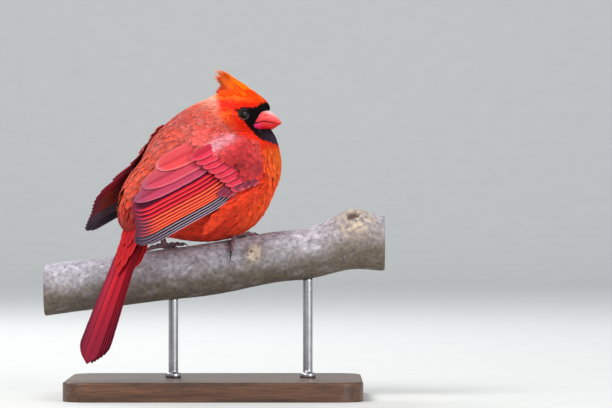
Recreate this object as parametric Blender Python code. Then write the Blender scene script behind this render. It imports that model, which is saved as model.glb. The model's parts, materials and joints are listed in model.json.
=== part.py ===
"""A life-size male northern cardinal, puffed up on a cut length of branch, on a display stand.

The row frame has +Z up and its origin under the middle of the base. The bird sits with its back
half turned to a viewer who looks along +Y, and its head is turned to show its right side.
"""
from math import cos, pi, radians, sin
from typing import NamedTuple

import bmesh
import bpy
import numpy as np
from mathutils import Vector

MM = 0.001
GAP = 0.3 * MM                      # clearance between nodes that touch

# Stance of the bird
BODY_CENTRE = np.array([-6.2, 0.0, 142.0]) * MM
BODY_HEADING = radians(32)          # from +X towards +Y
HEAD_CENTRE = np.array([14.4, 11.0, 181.0]) * MM
HEAD_HEADING = radians(4)
TAIL_HEADING = radians(38)          # the tail is held a little askew of the trunk

# Trunk and head, as soft unions of ellipsoids: half length, half width, half depth
BLEND = 2.7 * MM
EYE_RADIUS = 3.7 * MM
EYE_PLACE = (2.2, -4.1)             # forward and up from the head's centre, in mm
EYE_SINK = 2.2 * MM                 # of its centre under the face
LID_BEYOND = 9 * MM                 # how far a shell reaches past its cut before it is trimmed

# Cuts between head, neck and torso, measured from the head's centre towards the trunk's
HEAD_CUT = 13.5 * MM
TORSO_CUT = 20.5 * MM

# Wing
WING_GAUGE = 0.52 * MM              # thickness of a vane
WING_STEP = 0.86 * MM               # from one vane to the next above it
WRIST = {"right": (18.0, 33.0, 6.0), "left": (14.0, -33.0, 6.0)}
WING_TIP = {"right": (-64.4, 25.8, -47.0), "left": (-73.2, -26.0, -38.0)}
WING_ROLL = {"right": radians(24), "left": radians(36)}   # how far the wing faces upwards
WING_REST = 2.4 * MM                # from the plumage to the lowest vane

# Tail
TAIL_ROOT = (-41.5, 0.0, -24.0)
TAIL_LENGTH = 105 * MM
TAIL_SLOPE = radians(65.5)          # below the horizon
TAIL_TWIST = radians(8)             # turns its upper face towards the viewer
TAIL_SPREAD = 1.45 * MM             # sideways step between neighbouring feathers at the root
TAIL_GAUGE = 0.55 * MM
TAIL_STEP = 0.88 * MM

# Branch and stand
BRANCH_HALF_LENGTH = 106 * MM
BRANCH_RADIUS = 16.0 * MM
BRANCH_HEIGHT = 80.3 * MM           # of its axis over the middle of the base
BASE_LENGTH, BASE_DEPTH, BASE_HEIGHT = 184 * MM, 122 * MM, 12 * MM
ROD_RADIUS = 3 * MM
ROD_PLACES = {"stand_rod_left": -26 * MM, "stand_rod_right": 58 * MM}

# Legs and toes
TARSUS_RADIUS = 1.25 * MM
TOE_RADIUS = 1.15 * MM
TOE_CLEARANCE = 0.7 * MM            # over the bark, which ripples
FOOT_PLACE = {"right": 12.5 * MM, "left": -31.5 * MM}   # along the branch

SCARLET = (0.62, 0.035, 0.02)
ORANGE_RED = (0.80, 0.09, 0.012)
ROSE = (0.42, 0.06, 0.07)
CORAL = (0.70, 0.06, 0.05)
BROWN = (0.10, 0.055, 0.05)
BARK = (0.30, 0.27, 0.25)
WALNUT = (0.09, 0.045, 0.025)
STEEL = (0.35, 0.35, 0.36)
NEAR_BLACK = (0.012, 0.01, 0.01)


def unit(vector):
    """The vector, or each row of an array, at length one."""
    vector = np.asarray(vector, float)
    return vector / np.linalg.norm(vector, axis=-1, keepdims=True)


def level_axes(heading):
    """Rows forward, right and up for something that faces a heading."""
    return np.array([[cos(heading), sin(heading), 0], [sin(heading), -cos(heading), 0], [0, 0, 1]])


BODY_AXES = level_axes(BODY_HEADING)
HEAD_AXES = level_axes(HEAD_HEADING)
NECK_AXIS = unit(HEAD_CENTRE - BODY_CENTRE)


def body_point(place):
    """A place given forward, right and up of the trunk's centre in mm, in the row frame."""
    return BODY_CENTRE + np.asarray(place, float) * MM @ BODY_AXES


def head_point(place):
    """A place given forward, right and up of the head's centre in mm, in the row frame."""
    return HEAD_CENTRE + np.asarray(place, float) * MM @ HEAD_AXES


def pitched(axes, pitch):
    """Axes raised at the front by a pitch angle."""
    turn = np.array([[cos(pitch), 0, sin(pitch)], [0, 1, 0], [-sin(pitch), 0, cos(pitch)]])
    return turn @ axes


# Each swelling: centre in mm, half sizes in mm, pitch of its long axis in degrees
TRUNK_SWELLINGS = {
    "trunk": ((-1, 0, -1), (48, 33, 38), 40),
    "belly": ((8.5, 0, -14), (34, 35, 29.5), 20),
    "breast": ((21.5, 0, 5.5), (26, 29, 30), 55),
    "shoulders": ((1, 0, 21.5), (22.5, 20, 17.5), 50),
    "rump": ((-40, -1, -15), (19, 18, 15.5), 62),
    "tail_base": ((-49, -1, -25), (14, 11, 10.5), 64),
    "vent": ((-31, 0, -27), (17, 18, 12), 55),
}
HEAD_SWELLINGS = {
    "cranium": ((-2, 0, 0.5), (15, 9.8, 11), 0),
    "cheeks": ((-3, 0, -7), (13, 11, 9), 0),
    "forehead": ((9.5, 0, 1), (10, 5.0, 6), -18),
    "face": ((5, 0, -7), (7.5, 6.5, 7), -10),
    "throat": ((4.5, 0, -16.5), (8.5, 8.5, 7), 20),
    "nape": ((-10, 0, -8), (10, 11.5, 12), 50),
    "bib": ((9.5, 0, -22.5), (12, 13, 10), 0),
}


def swellings():
    """Centre, axes and half sizes of every ellipsoid of the plumage, in the row frame."""
    found = []
    for place, sizes, pitch in TRUNK_SWELLINGS.values():
        found.append((body_point(place), pitched(BODY_AXES, radians(pitch)), np.array(sizes) * MM))
    for place, sizes, pitch in HEAD_SWELLINGS.values():
        found.append((head_point(place), pitched(HEAD_AXES, radians(pitch)), np.array(sizes) * MM))
    return found


SWELLINGS = swellings()


def plumage(points):
    """Distance-like field of the plumage's outline: negative inside, zero on the surface."""
    total = np.zeros(points.shape[:-1])
    for centre, axes, sizes in SWELLINGS:
        local = (points - centre) @ axes.T
        near = np.linalg.norm(local / sizes, axis=-1)
        slope = np.linalg.norm(local / sizes ** 2, axis=-1) + 1e-9
        total += np.exp(-np.clip(near * (near - 1) / slope, -0.2, 0.2) / BLEND)
    return -BLEND * np.log(total)


def ray_hits(centre, directions, level, cuts):
    """Where rays from a centre leave the plumage grown by a level, or pass well beyond a cut."""
    near = np.zeros(directions.shape[:-1])
    far = np.full(directions.shape[:-1], 0.11)
    for _ in range(34):
        middle = (near + far) / 2
        points = centre + directions * middle[..., None]
        value = plumage(points) - level
        for place, outward in cuts:
            value = np.maximum(value, (points - place) @ outward - LID_BEYOND)
        inside = value < 0
        near = np.where(inside, middle, near)
        far = np.where(inside, far, middle)
    return centre + directions * near[..., None]


def sphere_directions(rings, sectors, axis):
    """Unit directions on rings around an axis, without its two poles."""
    axis = unit(axis)
    first = unit(np.cross(axis, (0.31, 0.17, 0.93)))
    second = np.cross(axis, first)
    polar = np.linspace(0, pi, rings + 2)[1:-1, None, None]
    around = np.linspace(0, 2 * pi, sectors, endpoint=False)[None, :, None]
    return np.cos(polar) * axis + np.sin(polar) * (np.cos(around) * first + np.sin(around) * second)


def material(name, colour, roughness):
    """A plain finish."""
    made = bpy.data.materials.new(name)
    made.use_nodes = True
    shader = made.node_tree.nodes["Principled BSDF"]
    shader.inputs["Base Color"].default_value = (*colour, 1)
    shader.inputs["Roughness"].default_value = roughness
    return made


def new_object(name, points, faces, finish=None):
    """A closed mesh object from points and faces, with its faces turned outwards."""
    mesh = bpy.data.meshes.new(name)
    mesh.from_pydata([tuple(point) for point in points], [], [tuple(face) for face in faces])
    if finish is not None:
        mesh.materials.append(finish)
    shape = bmesh.new()
    shape.from_mesh(mesh)
    bmesh.ops.remove_doubles(shape, verts=shape.verts, dist=1e-6)
    bmesh.ops.recalc_face_normals(shape, faces=shape.faces)
    if shape.calc_volume(signed=True) < 0:
        bmesh.ops.reverse_faces(shape, faces=shape.faces)
    shape.to_mesh(mesh)
    shape.free()
    made = bpy.data.objects.new(name, mesh)
    bpy.context.scene.collection.objects.link(made)
    return made


def closed_grid(rows, columns, first_pole, last_pole):
    """Triangles of a grid that wraps round and ends in two pole points, numbered after the grid."""
    faces = []
    for row in range(rows - 1):
        for column in range(columns):
            a, b = row * columns + column, row * columns + (column + 1) % columns
            c, d = a + columns, b + columns
            faces += [(a, b, d), (a, d, c)]
    last = (rows - 1) * columns
    for column in range(columns):
        after = (column + 1) % columns
        faces += [(first_pole, after, column), (last_pole, last + column, last + after)]
    return faces


def plumage_shell(name, centre, axis, rings, sectors, level=0.0, cuts=(), finish=None):
    """A closed shell of the plumage seen from a centre, trimmed flat at each cut."""
    directions = sphere_directions(rings, sectors, axis)
    poles = np.array([unit(axis), -unit(axis)])
    grid = ray_hits(centre, directions, level, cuts).reshape(-1, 3)
    ends = ray_hits(centre, poles, level, cuts)
    faces = closed_grid(rings, sectors, len(grid), len(grid) + 1)
    made = new_object(name, np.vstack([grid, ends]), faces, finish)
    for place, outward in cuts:
        trim(made, place, outward)
    return made


def trim(shape_object, place, outward):
    """Cuts a closed mesh by a plane, drops the side that the normal points to and caps the cut."""
    shape = bmesh.new()
    shape.from_mesh(shape_object.data)
    geometry = shape.verts[:] + shape.edges[:] + shape.faces[:]
    found = bmesh.ops.bisect_plane(
        shape, geom=geometry, dist=1e-7, plane_co=Vector(place), plane_no=Vector(outward),
        clear_outer=True,
    )
    rim = [part for part in found["geom_cut"] if isinstance(part, bmesh.types.BMEdge)]
    bmesh.ops.edgenet_fill(shape, edges=rim)
    bmesh.ops.triangulate(shape, faces=[face for face in shape.faces if len(face.verts) > 3])
    bmesh.ops.recalc_face_normals(shape, faces=shape.faces)
    shape.to_mesh(shape_object.data)
    shape.free()


def apply_boolean(target, operation, collection, solver="EXACT"):
    """Applies one Boolean of a collection to an object, and removes the collection's objects."""
    modifier = target.modifiers.new("join", "BOOLEAN")
    modifier.operation = operation
    modifier.operand_type = "COLLECTION"
    modifier.collection = collection
    modifier.solver = solver
    bpy.context.view_layer.update()
    graph = bpy.context.evaluated_depsgraph_get()
    result = bpy.data.meshes.new_from_object(target.evaluated_get(graph))
    target.modifiers.remove(modifier)
    target.data = result
    for used in list(collection.objects):
        bpy.data.objects.remove(used)
    bpy.data.collections.remove(collection)


def gather(objects):
    """Moves objects into a collection of their own."""
    collection = bpy.data.collections.new("pieces")
    bpy.context.scene.collection.children.link(collection)
    for piece in objects:
        bpy.context.scene.collection.objects.unlink(piece)
        collection.objects.link(piece)
    return collection


def join(target, pieces, solver="EXACT"):
    """Unites pieces with the target and keeps the largest closed surface."""
    apply_boolean(target, "UNION", gather(pieces), solver)
    keep_largest(target)


def cut(target, cutters, solver="EXACT"):
    """Cuts shapes out of the target and keeps the largest closed surface."""
    apply_boolean(target, "DIFFERENCE", gather(cutters), solver)
    keep_largest(target)


def keep_largest(target):
    """Keeps only the connected surface with the largest volume."""
    shape = bmesh.new()
    shape.from_mesh(target.data)
    unseen = set(shape.verts)
    surfaces = []
    while unseen:
        todo = [unseen.pop()]
        group = set(todo)
        while todo:
            for edge in todo.pop().link_edges:
                for vert in edge.verts:
                    if vert in unseen:
                        unseen.discard(vert)
                        group.add(vert)
                        todo.append(vert)
        surfaces.append(group)

    def enclosed(group):
        faces = {face for vert in group for face in vert.link_faces}
        total = 0.0
        for face in faces:
            corners = [vert.co for vert in face.verts]
            for second, third in zip(corners[1:-1], corners[2:]):
                total += corners[0].dot(second.cross(third)) / 6
        return abs(total)

    largest = max(surfaces, key=enclosed)
    bmesh.ops.delete(shape, geom=[v for v in shape.verts if v not in largest], context="VERTS")
    bmesh.ops.triangulate(shape, faces=[face for face in shape.faces if len(face.verts) > 3])
    shape.to_mesh(target.data)
    shape.free()


def ellipsoid(name, centre, axes, sizes, rings=10, sectors=16, finish=None):
    """A closed ellipsoid with its long axis along the first axis."""
    directions = sphere_directions(rings, sectors, (1, 0, 0)).reshape(-1, 3)
    local = np.vstack([directions, [[1, 0, 0], [-1, 0, 0]]]) * sizes
    faces = closed_grid(rings, sectors, len(directions), len(directions) + 1)
    return new_object(name, centre + local @ axes, faces, finish)


def tube(name, points, radii, sides, finish=None, up=(0, 0, 1)):
    """A closed tube of round sections along points, each with its own radius."""
    points = np.asarray(points, float)
    along = unit(np.gradient(points, axis=0))
    across = unit(np.cross(along, up))
    third = np.cross(along, across)
    around = np.linspace(0, 2 * pi, sides, endpoint=False)[None, :, None]
    rings = points[:, None] + np.asarray(radii)[:, None, None] * (
        np.cos(around) * across[:, None] + np.sin(around) * third[:, None])
    count = len(points) * sides
    faces = closed_grid(len(points), sides, count, count + 1)
    return new_object(name, np.vstack([rings.reshape(-1, 3), points[:1], points[-1:]]), faces, finish)


def vane(name, place, stations, widths, layer, gauge, spine):
    """One feather: a thin closed plate whose two faces are split into triangles alike.

    place maps (along, across, lift) arrays to points; stations are (along, across) of its midline;
    widths are half widths there; layer gives the lift at (along, across); spine is the midrib's height.
    """
    stations = np.asarray(stations, float)
    direction = unit(np.gradient(stations, axis=0))
    sideways = np.stack([-direction[:, 1], direction[:, 0]], axis=1)
    shares = np.array([-1.0, 0.0, 1.0])
    grid = stations[:, None] + shares[None, :, None] * np.asarray(widths)[:, None, None] * sideways[:, None]
    along, across = grid[..., 0], grid[..., 1]
    middle = layer(along, across)
    crown = spine * (1 - np.abs(shares))[None, :]
    top = place(along, across, middle + gauge / 2 + crown).reshape(-1, 3)
    bottom = place(along, across, middle - gauge / 2 + crown).reshape(-1, 3)
    rows, columns = len(stations), len(shares)
    count = rows * columns
    faces = []
    for row in range(rows - 1):
        for column in range(columns - 1):
            a = row * columns + column
            b, c, d = a + 1, a + columns, a + columns + 1
            faces += [(a, b, d), (a, d, c)]
            faces += [(a + count, d + count, b + count), (a + count, c + count, d + count)]
    rim = [row * columns for row in range(rows)]
    rim += [(rows - 1) * columns + column for column in range(1, columns)]
    rim += [row * columns + columns - 1 for row in range(rows - 2, -1, -1)]
    rim += [column for column in range(columns - 2, 0, -1)]
    for here, after in zip(rim, rim[1:] + rim[:1]):
        faces += [(here, after, after + count), (here, after + count, here + count)]
    return new_object(name, np.vstack([top, bottom]), faces)


def neck_cuts(low, high):
    """Cut planes across the neck, at distances below the head's centre along the neck's axis."""
    cuts = []
    if low is not None:
        cuts.append((HEAD_CENTRE - NECK_AXIS * low, -NECK_AXIS))
    if high is not None:
        cuts.append((HEAD_CENTRE - NECK_AXIS * high, NECK_AXIS))
    return cuts


def torso_cutter(rings=22, sectors=30):
    """The torso grown by the gap, to clear what lies against it."""
    return plumage_shell("torso_cutter", BODY_CENTRE, NECK_AXIS, rings, sectors, level=GAP)


def head_cutter():
    """The head grown by the gap."""
    return plumage_shell("head_cutter", HEAD_CENTRE, HEAD_AXES[0], 18, 26, level=GAP,
                         cuts=neck_cuts(HEAD_CUT + 4 * MM, None))


def make_torso(finish):
    """The puffed trunk, as the outline of its body feathers."""
    return plumage_shell("torso", BODY_CENTRE, NECK_AXIS, 22, 30, finish=finish,
                         cuts=neck_cuts(None, TORSO_CUT + GAP / 2))


def make_neck(finish):
    """The short slab of neck between torso and head."""
    centre = HEAD_CENTRE - NECK_AXIS * (HEAD_CUT + TORSO_CUT) / 2
    cuts = neck_cuts(TORSO_CUT - GAP / 2, HEAD_CUT + GAP / 2)
    return plumage_shell("neck", centre, NECK_AXIS, 9, 28, finish=finish, cuts=cuts)


def eye_centre(side):
    """Centre of an eyeball; side is 1 for the right eye and -1 for the left."""
    start = head_point((EYE_PLACE[0], 0, EYE_PLACE[1]))
    outward = side * HEAD_AXES[1]
    return ray_hits(start, outward[None], 0.0, ())[0] - outward * EYE_SINK


def face_normal(side):
    """Direction that the face looks in at one eye."""
    place = eye_centre(side) + side * HEAD_AXES[1] * EYE_SINK
    steps = np.eye(3) * 0.5 * MM
    return unit(plumage(place + steps) - plumage(place - steps))


def make_head(finish):
    """The head without crest, bill and eyes, with sockets and raised lids."""
    head = plumage_shell("head", HEAD_CENTRE, HEAD_AXES[0], 18, 26, finish=finish,
                         cuts=neck_cuts(HEAD_CUT - GAP / 2, None))
    lids = [eyelid_ring(side) for side in (1, -1)]
    join(head, lids)
    sockets = [
        ellipsoid("socket", eye_centre(side), HEAD_AXES, (EYE_RADIUS + GAP) * np.ones(3), 7, 12)
        for side in (1, -1)
    ]
    cut(head, sockets)
    return head


def eyelid_ring(side):
    """A thin raised ring round one eye, half sunk in the face."""
    outward = face_normal(side)
    first = unit(np.cross(outward, (0, 0, 1)))
    second = np.cross(outward, first)
    centre = eye_centre(side) + outward * 1.9 * MM
    turns, sides = 14, 5
    ring_radius, lid_radius = 3.5 * MM, 0.85 * MM
    points = []
    for turn in range(turns):
        angle = 2 * pi * turn / turns
        radial = cos(angle) * first + sin(angle) * second
        for step in range(sides):
            lean = 2 * pi * step / sides
            reach = ring_radius + lid_radius * cos(lean)
            points.append(centre + radial * reach + outward * lid_radius * sin(lean))
    faces = []
    for turn in range(turns):
        for step in range(sides):
            a, b = turn * sides + step, turn * sides + (step + 1) % sides
            c = ((turn + 1) % turns) * sides + step
            d = ((turn + 1) % turns) * sides + (step + 1) % sides
            faces += [(a, b, d), (a, d, c)]
    return new_object("lid", points, faces)


def make_eye(name, side, finish):
    """One eyeball."""
    return ellipsoid(name, eye_centre(side), HEAD_AXES, EYE_RADIUS * np.ones(3), 7, 12, finish)


# Bill in the head's frame, in mm: (forward, up) of its edges along a share from base to tip
CULMEN = ((9.0, 1.5), (17.3, -0.9), (21.3, -2.9), (24.4, -5.5), (26.6, -8.2), (27.2, -9.9))
CUTTING_EDGE = ((3.0, -9.8), (10.3, -9.9), (15.0, -8.6), (20.0, -9.2), (24.5, -9.9), (26.8, -10.2))
GONYS = ((3.0, -13.5), (10.5, -15.2), (14.5, -15.6), (19.0, -14.8), (23.2, -12.6), (25.8, -10.7))
BILL_HALF_WIDTHS = (6.9, 6.7, 5.8, 4.3, 2.3, 0.7)


def half_bill(name, ridge, edge, lift, finish):
    """One half of the bill: arched sections between the cutting edge and the culmen or gonys."""
    arch = np.linspace(0, pi, 9)
    points = []
    for (top, edge_place, width) in zip(ridge, edge, BILL_HALF_WIDTHS):
        for angle in arch:
            share = sin(angle) ** 0.8
            forward = edge_place[0] + (top[0] - edge_place[0]) * share
            up = edge_place[1] + lift + (top[1] - edge_place[1] - lift) * share
            points.append((forward, width * cos(angle), up))
    columns = len(arch)
    rows = len(ridge)
    faces = []
    for row in range(rows - 1):
        for column in range(columns):
            a, b = row * columns + column, row * columns + (column + 1) % columns
            faces += [(a, b, b + columns), (a, b + columns, a + columns)]
    for row in (0, rows - 1):
        start = row * columns
        for column in range(1, columns - 1):
            faces.append((start, start + column, start + column + 1))
    return new_object(name, head_point(points), faces, finish)


def make_bill(finish):
    """Upper and lower mandible, cut to the face, with a nostril pit on each side of the upper."""
    upper = half_bill("bill_upper", CULMEN, CUTTING_EDGE, 0.15, finish)
    lower = half_bill("bill_lower", GONYS, CUTTING_EDGE, -0.15, finish)
    pit = np.array([1.0, 0.8, 0.6]) * MM
    nostrils = [
        ellipsoid("nostril", head_point((17.2, side * 4.6, -4.2)), HEAD_AXES, pit, 5, 8)
        for side in (1, -1)
    ]
    cut(upper, [head_cutter()] + nostrils)
    cut(lower, [head_cutter()])
    return upper, lower


# Crest feathers in the head's frame, in mm: root (forward, up), tip (forward, up), sideways places
CREST_ROWS = (
    ((11.5, 5.0), (4.6, 14.9), (1.5,)),
    ((10.0, 7.0), (-3.5, 19.6), (0.0, 3.4)),
    ((8.0, 8.2), (-9.0, 22.4), (1.4,)),
    ((5.0, 9.3), (-15.3, 22.7), (0.0, 3.0)),
    ((0.5, 10.3), (-15.0, 18.7), (1.6,)),
    ((-4.0, 10.3), (-15.6, 14.2), (0.0, 3.6)),
    ((-8.5, 8.0), (-17.0, 9.2), (2.2,)),
)
CREST_HALF_WIDTH = 2.5 * MM


def crest_feather(root, tip, sideways, rise):
    """One crest feather, bowed upwards, that closes towards the head's mid-line at its tip."""
    shares = np.array([0.0, 0.6, 1.0])
    forward = root[0] + (tip[0] - root[0]) * shares
    up = root[1] + (tip[1] - root[1]) * shares + rise * np.sin(pi * shares)
    side = sideways * (1 - 0.62 * shares)
    centre = head_point(np.stack([forward, side, up], axis=1))
    along = unit(np.gradient(centre, axis=0))
    tilt = np.array([0.0, np.sign(sideways) * min(abs(sideways) / 3.0, 1.0), 1.0]) @ HEAD_AXES
    across = unit(np.cross(along, tilt))
    normal = np.cross(across, along)

    def place(station, offset, lift):
        index = np.rint(station).astype(int)
        return centre[index] + across[index] * offset[..., None] + normal[index] * lift[..., None]

    stations = np.stack([np.arange(3.0), np.zeros(3)], axis=1)
    widths = CREST_HALF_WIDTH * np.array([0.8, 1.0, 0.12])
    return vane("crest_feather", place, stations, widths, lambda a, b: 0 * a, 0.7 * MM, 0.25 * MM)


def make_crest(finish):
    """The crest: a low scalp with feathers rooted in it."""
    crest = ellipsoid("crest", head_point((-1.5, 0, 6.5)), pitched(HEAD_AXES, radians(4)),
                      np.array([14.5, 8.0, 7.4]) * MM, 8, 14, finish)
    feathers = []
    for root, tip, sides in CREST_ROWS:
        for sideways in sides:
            for sign in ((1, -1) if sideways else (1,)):
                feathers.append(crest_feather(root, tip, sign * sideways, 1.2))
    join(crest, feathers, "MANIFOLD")
    cut(crest, [head_cutter()], "MANIFOLD")
    return crest


# Flight feathers from the outermost primary to the innermost tertial, in mm:
# across at 15 mm from the wrist, across at 90 mm, length from the wrist, half width
FLIGHT_FEATHERS = (
    (-8.5, -1.4, 93.0, 4.0),
    (-7.0, 0.4, 97.5, 4.1),
    (-5.2, 2.6, 96.0, 4.2),
    (-3.2, 5.0, 94.0, 4.4),
    (-1.0, 7.6, 91.5, 4.7),
    (2.0, 10.8, 89.5, 5.2),
    (5.5, 14.4, 88.5, 5.7),
    (9.5, 18.8, 87.0, 6.1),
    (13.4, 22.4, 84.0, 6.4),
    (18.4, 28.5, 74.0, 7.0),
    (23.6, 38.0, 57.0, 7.2),
)


class CovertRow(NamedTuple):
    """A row of coverts; places are (across, along) of the first and last tip, in mm."""

    first: tuple
    last: tuple
    length: float
    half_width: float
    root_lift: float
    tip_lift: float
    count: int


COVERT_ROWS = (
    CovertRow((-10.0, 26.0), (22.5, 39.0), 20.0, 3.9, 3.2, 3.9, 7),
    CovertRow((-8.5, 15.0), (23.0, 26.0), 14.0, 4.0, 4.6, 5.1, 6),
    CovertRow((-7.0, 7.5), (23.0, 15.5), 11.0, 4.2, 5.4, 6.0, 5),
)


class Wing:
    """The folded wing's own frame: along to its tip, across to its upper edge, lift outwards."""

    crown = (42 * MM, 10 * MM)       # along and across of the bowed sheet's highest place
    crown_height = 3.0 * MM
    bow_along = 400 * MM
    bow_across = 52 * MM
    blend = 2.0 * MM

    def __init__(self, side):
        self.side = side
        sign = 1 if side == "right" else -1
        roll = WING_ROLL[side]
        self.origin = body_point(WRIST[side])
        self.along = unit(body_point(WING_TIP[side]) - self.origin)
        outward = cos(roll) * sign * BODY_AXES[1] + sin(roll) * BODY_AXES[2]
        self.out = unit(outward - self.along * (outward @ self.along))
        across = np.cross(self.along, self.out)
        self.across = across if across[2] > 0 else -across
        self.spans = np.array([row[:2] for row in FLIGHT_FEATHERS]) * MM
        self.grid_along = np.linspace(-18, 112, 53) * MM
        self.grid_across = np.linspace(-28, 60, 37) * MM
        self.heights = self.settle()
        slopes = np.gradient(self.heights, self.grid_along, self.grid_across)
        self.slope_along, self.slope_across = slopes

    def settle(self):
        """Heights of the sheet: a shallow bow that is lifted wherever the plumage swells."""
        along, across = np.meshgrid(self.grid_along, self.grid_across, indexing="ij")
        bow = (self.crown_height - (along - self.crown[0]) ** 2 / (2 * self.bow_along)
               - (across - self.crown[1]) ** 2 / (2 * self.bow_across))
        flat = self.origin + along[..., None] * self.along + across[..., None] * self.across
        rest = np.full(along.shape, -0.06)
        found = np.zeros(along.shape, bool)
        for height in np.arange(34.0, -34.0, -0.5) * MM:
            inside = plumage(flat + height * self.out) < WING_REST
            rest = np.where(inside & ~found, height, rest)
            found |= inside
        return self.blend * np.logaddexp(bow / self.blend, rest / self.blend)

    def sample(self, values, along, across):
        """Values of the sheet's grid between its nodes."""
        place_along = np.clip((along - self.grid_along[0]) / (self.grid_along[1] - self.grid_along[0]),
                              0, len(self.grid_along) - 1.001)
        place_across = np.clip((across - self.grid_across[0]) / (self.grid_across[1] - self.grid_across[0]),
                               0, len(self.grid_across) - 1.001)
        i, j = place_along.astype(int), place_across.astype(int)
        u, v = place_along - i, place_across - j
        near = values[i, j] * (1 - v) + values[i, j + 1] * v
        far = values[i + 1, j] * (1 - v) + values[i + 1, j + 1] * v
        return near * (1 - u) + far * u

    def place(self, along, across, lift):
        """Points of the row frame for places in the wing's frame."""
        height = self.sample(self.heights, along, across)
        tilt_along = self.sample(self.slope_along, along, across)
        tilt_across = self.sample(self.slope_across, along, across)
        normal = unit(self.out - tilt_along[..., None] * self.along - tilt_across[..., None] * self.across)
        return (self.origin + along[..., None] * self.along + across[..., None] * self.across
                + height[..., None] * self.out + lift[..., None] * normal)

    def centres(self, along):
        """Across places of every flight feather's midline at a distance from the wrist."""
        share = (along - 15 * MM) / (75 * MM)
        return self.spans[:, 0] + (self.spans[:, 1] - self.spans[:, 0]) * share

    def rank(self, along, across):
        """The feather number, with fractions, whose midline passes a place."""
        ranks = np.empty(along.shape)
        for index in np.ndindex(along.shape):
            centres = self.centres(along[index])
            here = across[index]
            if here < centres[0]:
                ranks[index] = (here - centres[0]) / (centres[1] - centres[0])
            elif here > centres[-1]:
                ranks[index] = len(centres) - 1 + (here - centres[-1]) / (centres[-1] - centres[-2])
            else:
                ranks[index] = np.interp(here, centres, np.arange(len(centres)))
        return ranks

    def flight_feather(self, number):
        """One primary, secondary or tertial, lapped over the one outside it."""
        _, _, length, half_width = FLIGHT_FEATHERS[number]
        start = (10 + 0.6 * number) * MM
        shares = np.array([0.0, 0.3, 0.62, 0.92, 1.0])
        along = start + (length * MM - start) * shares
        across = np.array([self.centres(here)[number] for here in along])
        widths = half_width * MM * np.array([0.7, 1.0, 1.0, 0.72, 0.2])

        def layer(there, side):
            return WING_STEP * np.maximum(number - self.rank(there, side), -1.1)

        return vane("flight_feather", self.place, np.stack([along, across], axis=1), widths, layer,
                    WING_GAUGE, 0.0)

    def covert(self, row, share):
        """One covert of a row, lapped over its outer neighbour."""
        tip = np.array(row.first) + (np.array(row.last) - np.array(row.first)) * share
        root_across = tip[0] - 2.0
        shares = np.array([0.0, 0.45, 0.86, 1.0])
        along = (tip[1] - row.length * (1 - shares)) * MM
        across = (root_across + (tip[0] - root_across) * shares) * MM
        widths = row.half_width * MM * np.array([0.75, 1.0, 0.75, 0.2])

        def layer(there, side):
            back = np.clip((tip[1] * MM - there) / (row.length * MM), 0, 1)
            middle = np.interp(there, along, across)
            return (row.tip_lift + (row.root_lift - row.tip_lift) * back) * MM + 0.13 * (middle - side)

        return vane("covert", self.place, np.stack([along, across], axis=1), widths, layer,
                    0.55 * MM, 0.0)

    def arm(self, finish):
        """The wing's arm and hand under the small coverts, moulded to the sheet."""
        rings, sectors = 9, 16
        directions = sphere_directions(rings, sectors, (1, 0, 0)).reshape(-1, 3)
        local = np.vstack([directions, [[1, 0, 0], [-1, 0, 0]]])
        along = (13.5 + 17.5 * local[:, 0]) * MM
        across = (8.0 + 21.0 * local[:, 1]) * MM
        lift = (0.4 + 4.9 * local[:, 2]) * MM
        faces = closed_grid(rings, sectors, len(directions), len(directions) + 1)
        return new_object(f"wing_{self.side}", self.place(along, across, lift), faces, finish)


def make_wing(side, finish):
    """A folded wing: flight feathers and coverts lapped in tiers and rooted in the arm."""
    wing = Wing(side)
    made = wing.arm(finish)
    pieces = [wing.flight_feather(number) for number in range(len(FLIGHT_FEATHERS))]
    for row in COVERT_ROWS:
        pieces += [wing.covert(row, rank / (row.count - 1)) for rank in range(row.count)]
    join(made, pieces, "MANIFOLD")
    cut(made, [torso_cutter()], "MANIFOLD")
    return made


def tail_frame():
    """Origin, along, across and dorsal axes of the tail."""
    level = level_axes(TAIL_HEADING)
    along = -cos(TAIL_SLOPE) * level[0] - sin(TAIL_SLOPE) * level[2]
    flat = -sin(TAIL_SLOPE) * level[0] + cos(TAIL_SLOPE) * level[2]
    sideways = cos(TAIL_TWIST) * level[1] - sin(TAIL_TWIST) * flat
    dorsal = cos(TAIL_TWIST) * flat + sin(TAIL_TWIST) * level[1]
    return body_point(TAIL_ROOT), along, sideways, dorsal


def tail_place(along, across, lift):
    """Points of the row frame for places in the tail's frame; the tail is slightly arched across."""
    origin, down, sideways, dorsal = tail_frame()
    height = lift - across ** 2 / (2 * 0.05)
    return (origin + along[..., None] * down + across[..., None] * sideways
            + height[..., None] * dorsal)


def rectrix(rank, sign):
    """One tail feather; rank 0 is the middle pair and 5 the outermost."""
    def middle(along):
        fan = TAIL_SPREAD * (0.55 + 0.75 * along / TAIL_LENGTH)
        return sign * (rank + 0.35) * fan

    length = TAIL_LENGTH - (0.9 * rank + 0.12 * rank ** 2) * MM
    shares = np.array([0.0, 0.4, 0.75, 0.94, 1.0])
    along = -4 * MM + (length + 4 * MM) * shares
    half_width = (5.6 - 0.18 * rank) * MM
    widths = half_width * np.array([0.55, 0.86, 1.0, 0.8, 0.3])
    top_pair = 1 if sign > 0 else 0

    def layer(there, side):
        fan = TAIL_SPREAD * (0.55 + 0.75 * there / TAIL_LENGTH)
        return TAIL_STEP * (np.abs(side) / fan - rank)

    def flat_layer(there, side):
        return TAIL_STEP * (1.4 + top_pair) + 0 * there

    stations = np.stack([along, middle(along)], axis=1)
    return vane("rectrix", tail_place, stations, widths, flat_layer if rank == 0 else layer, TAIL_GAUGE, 0.0)


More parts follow.
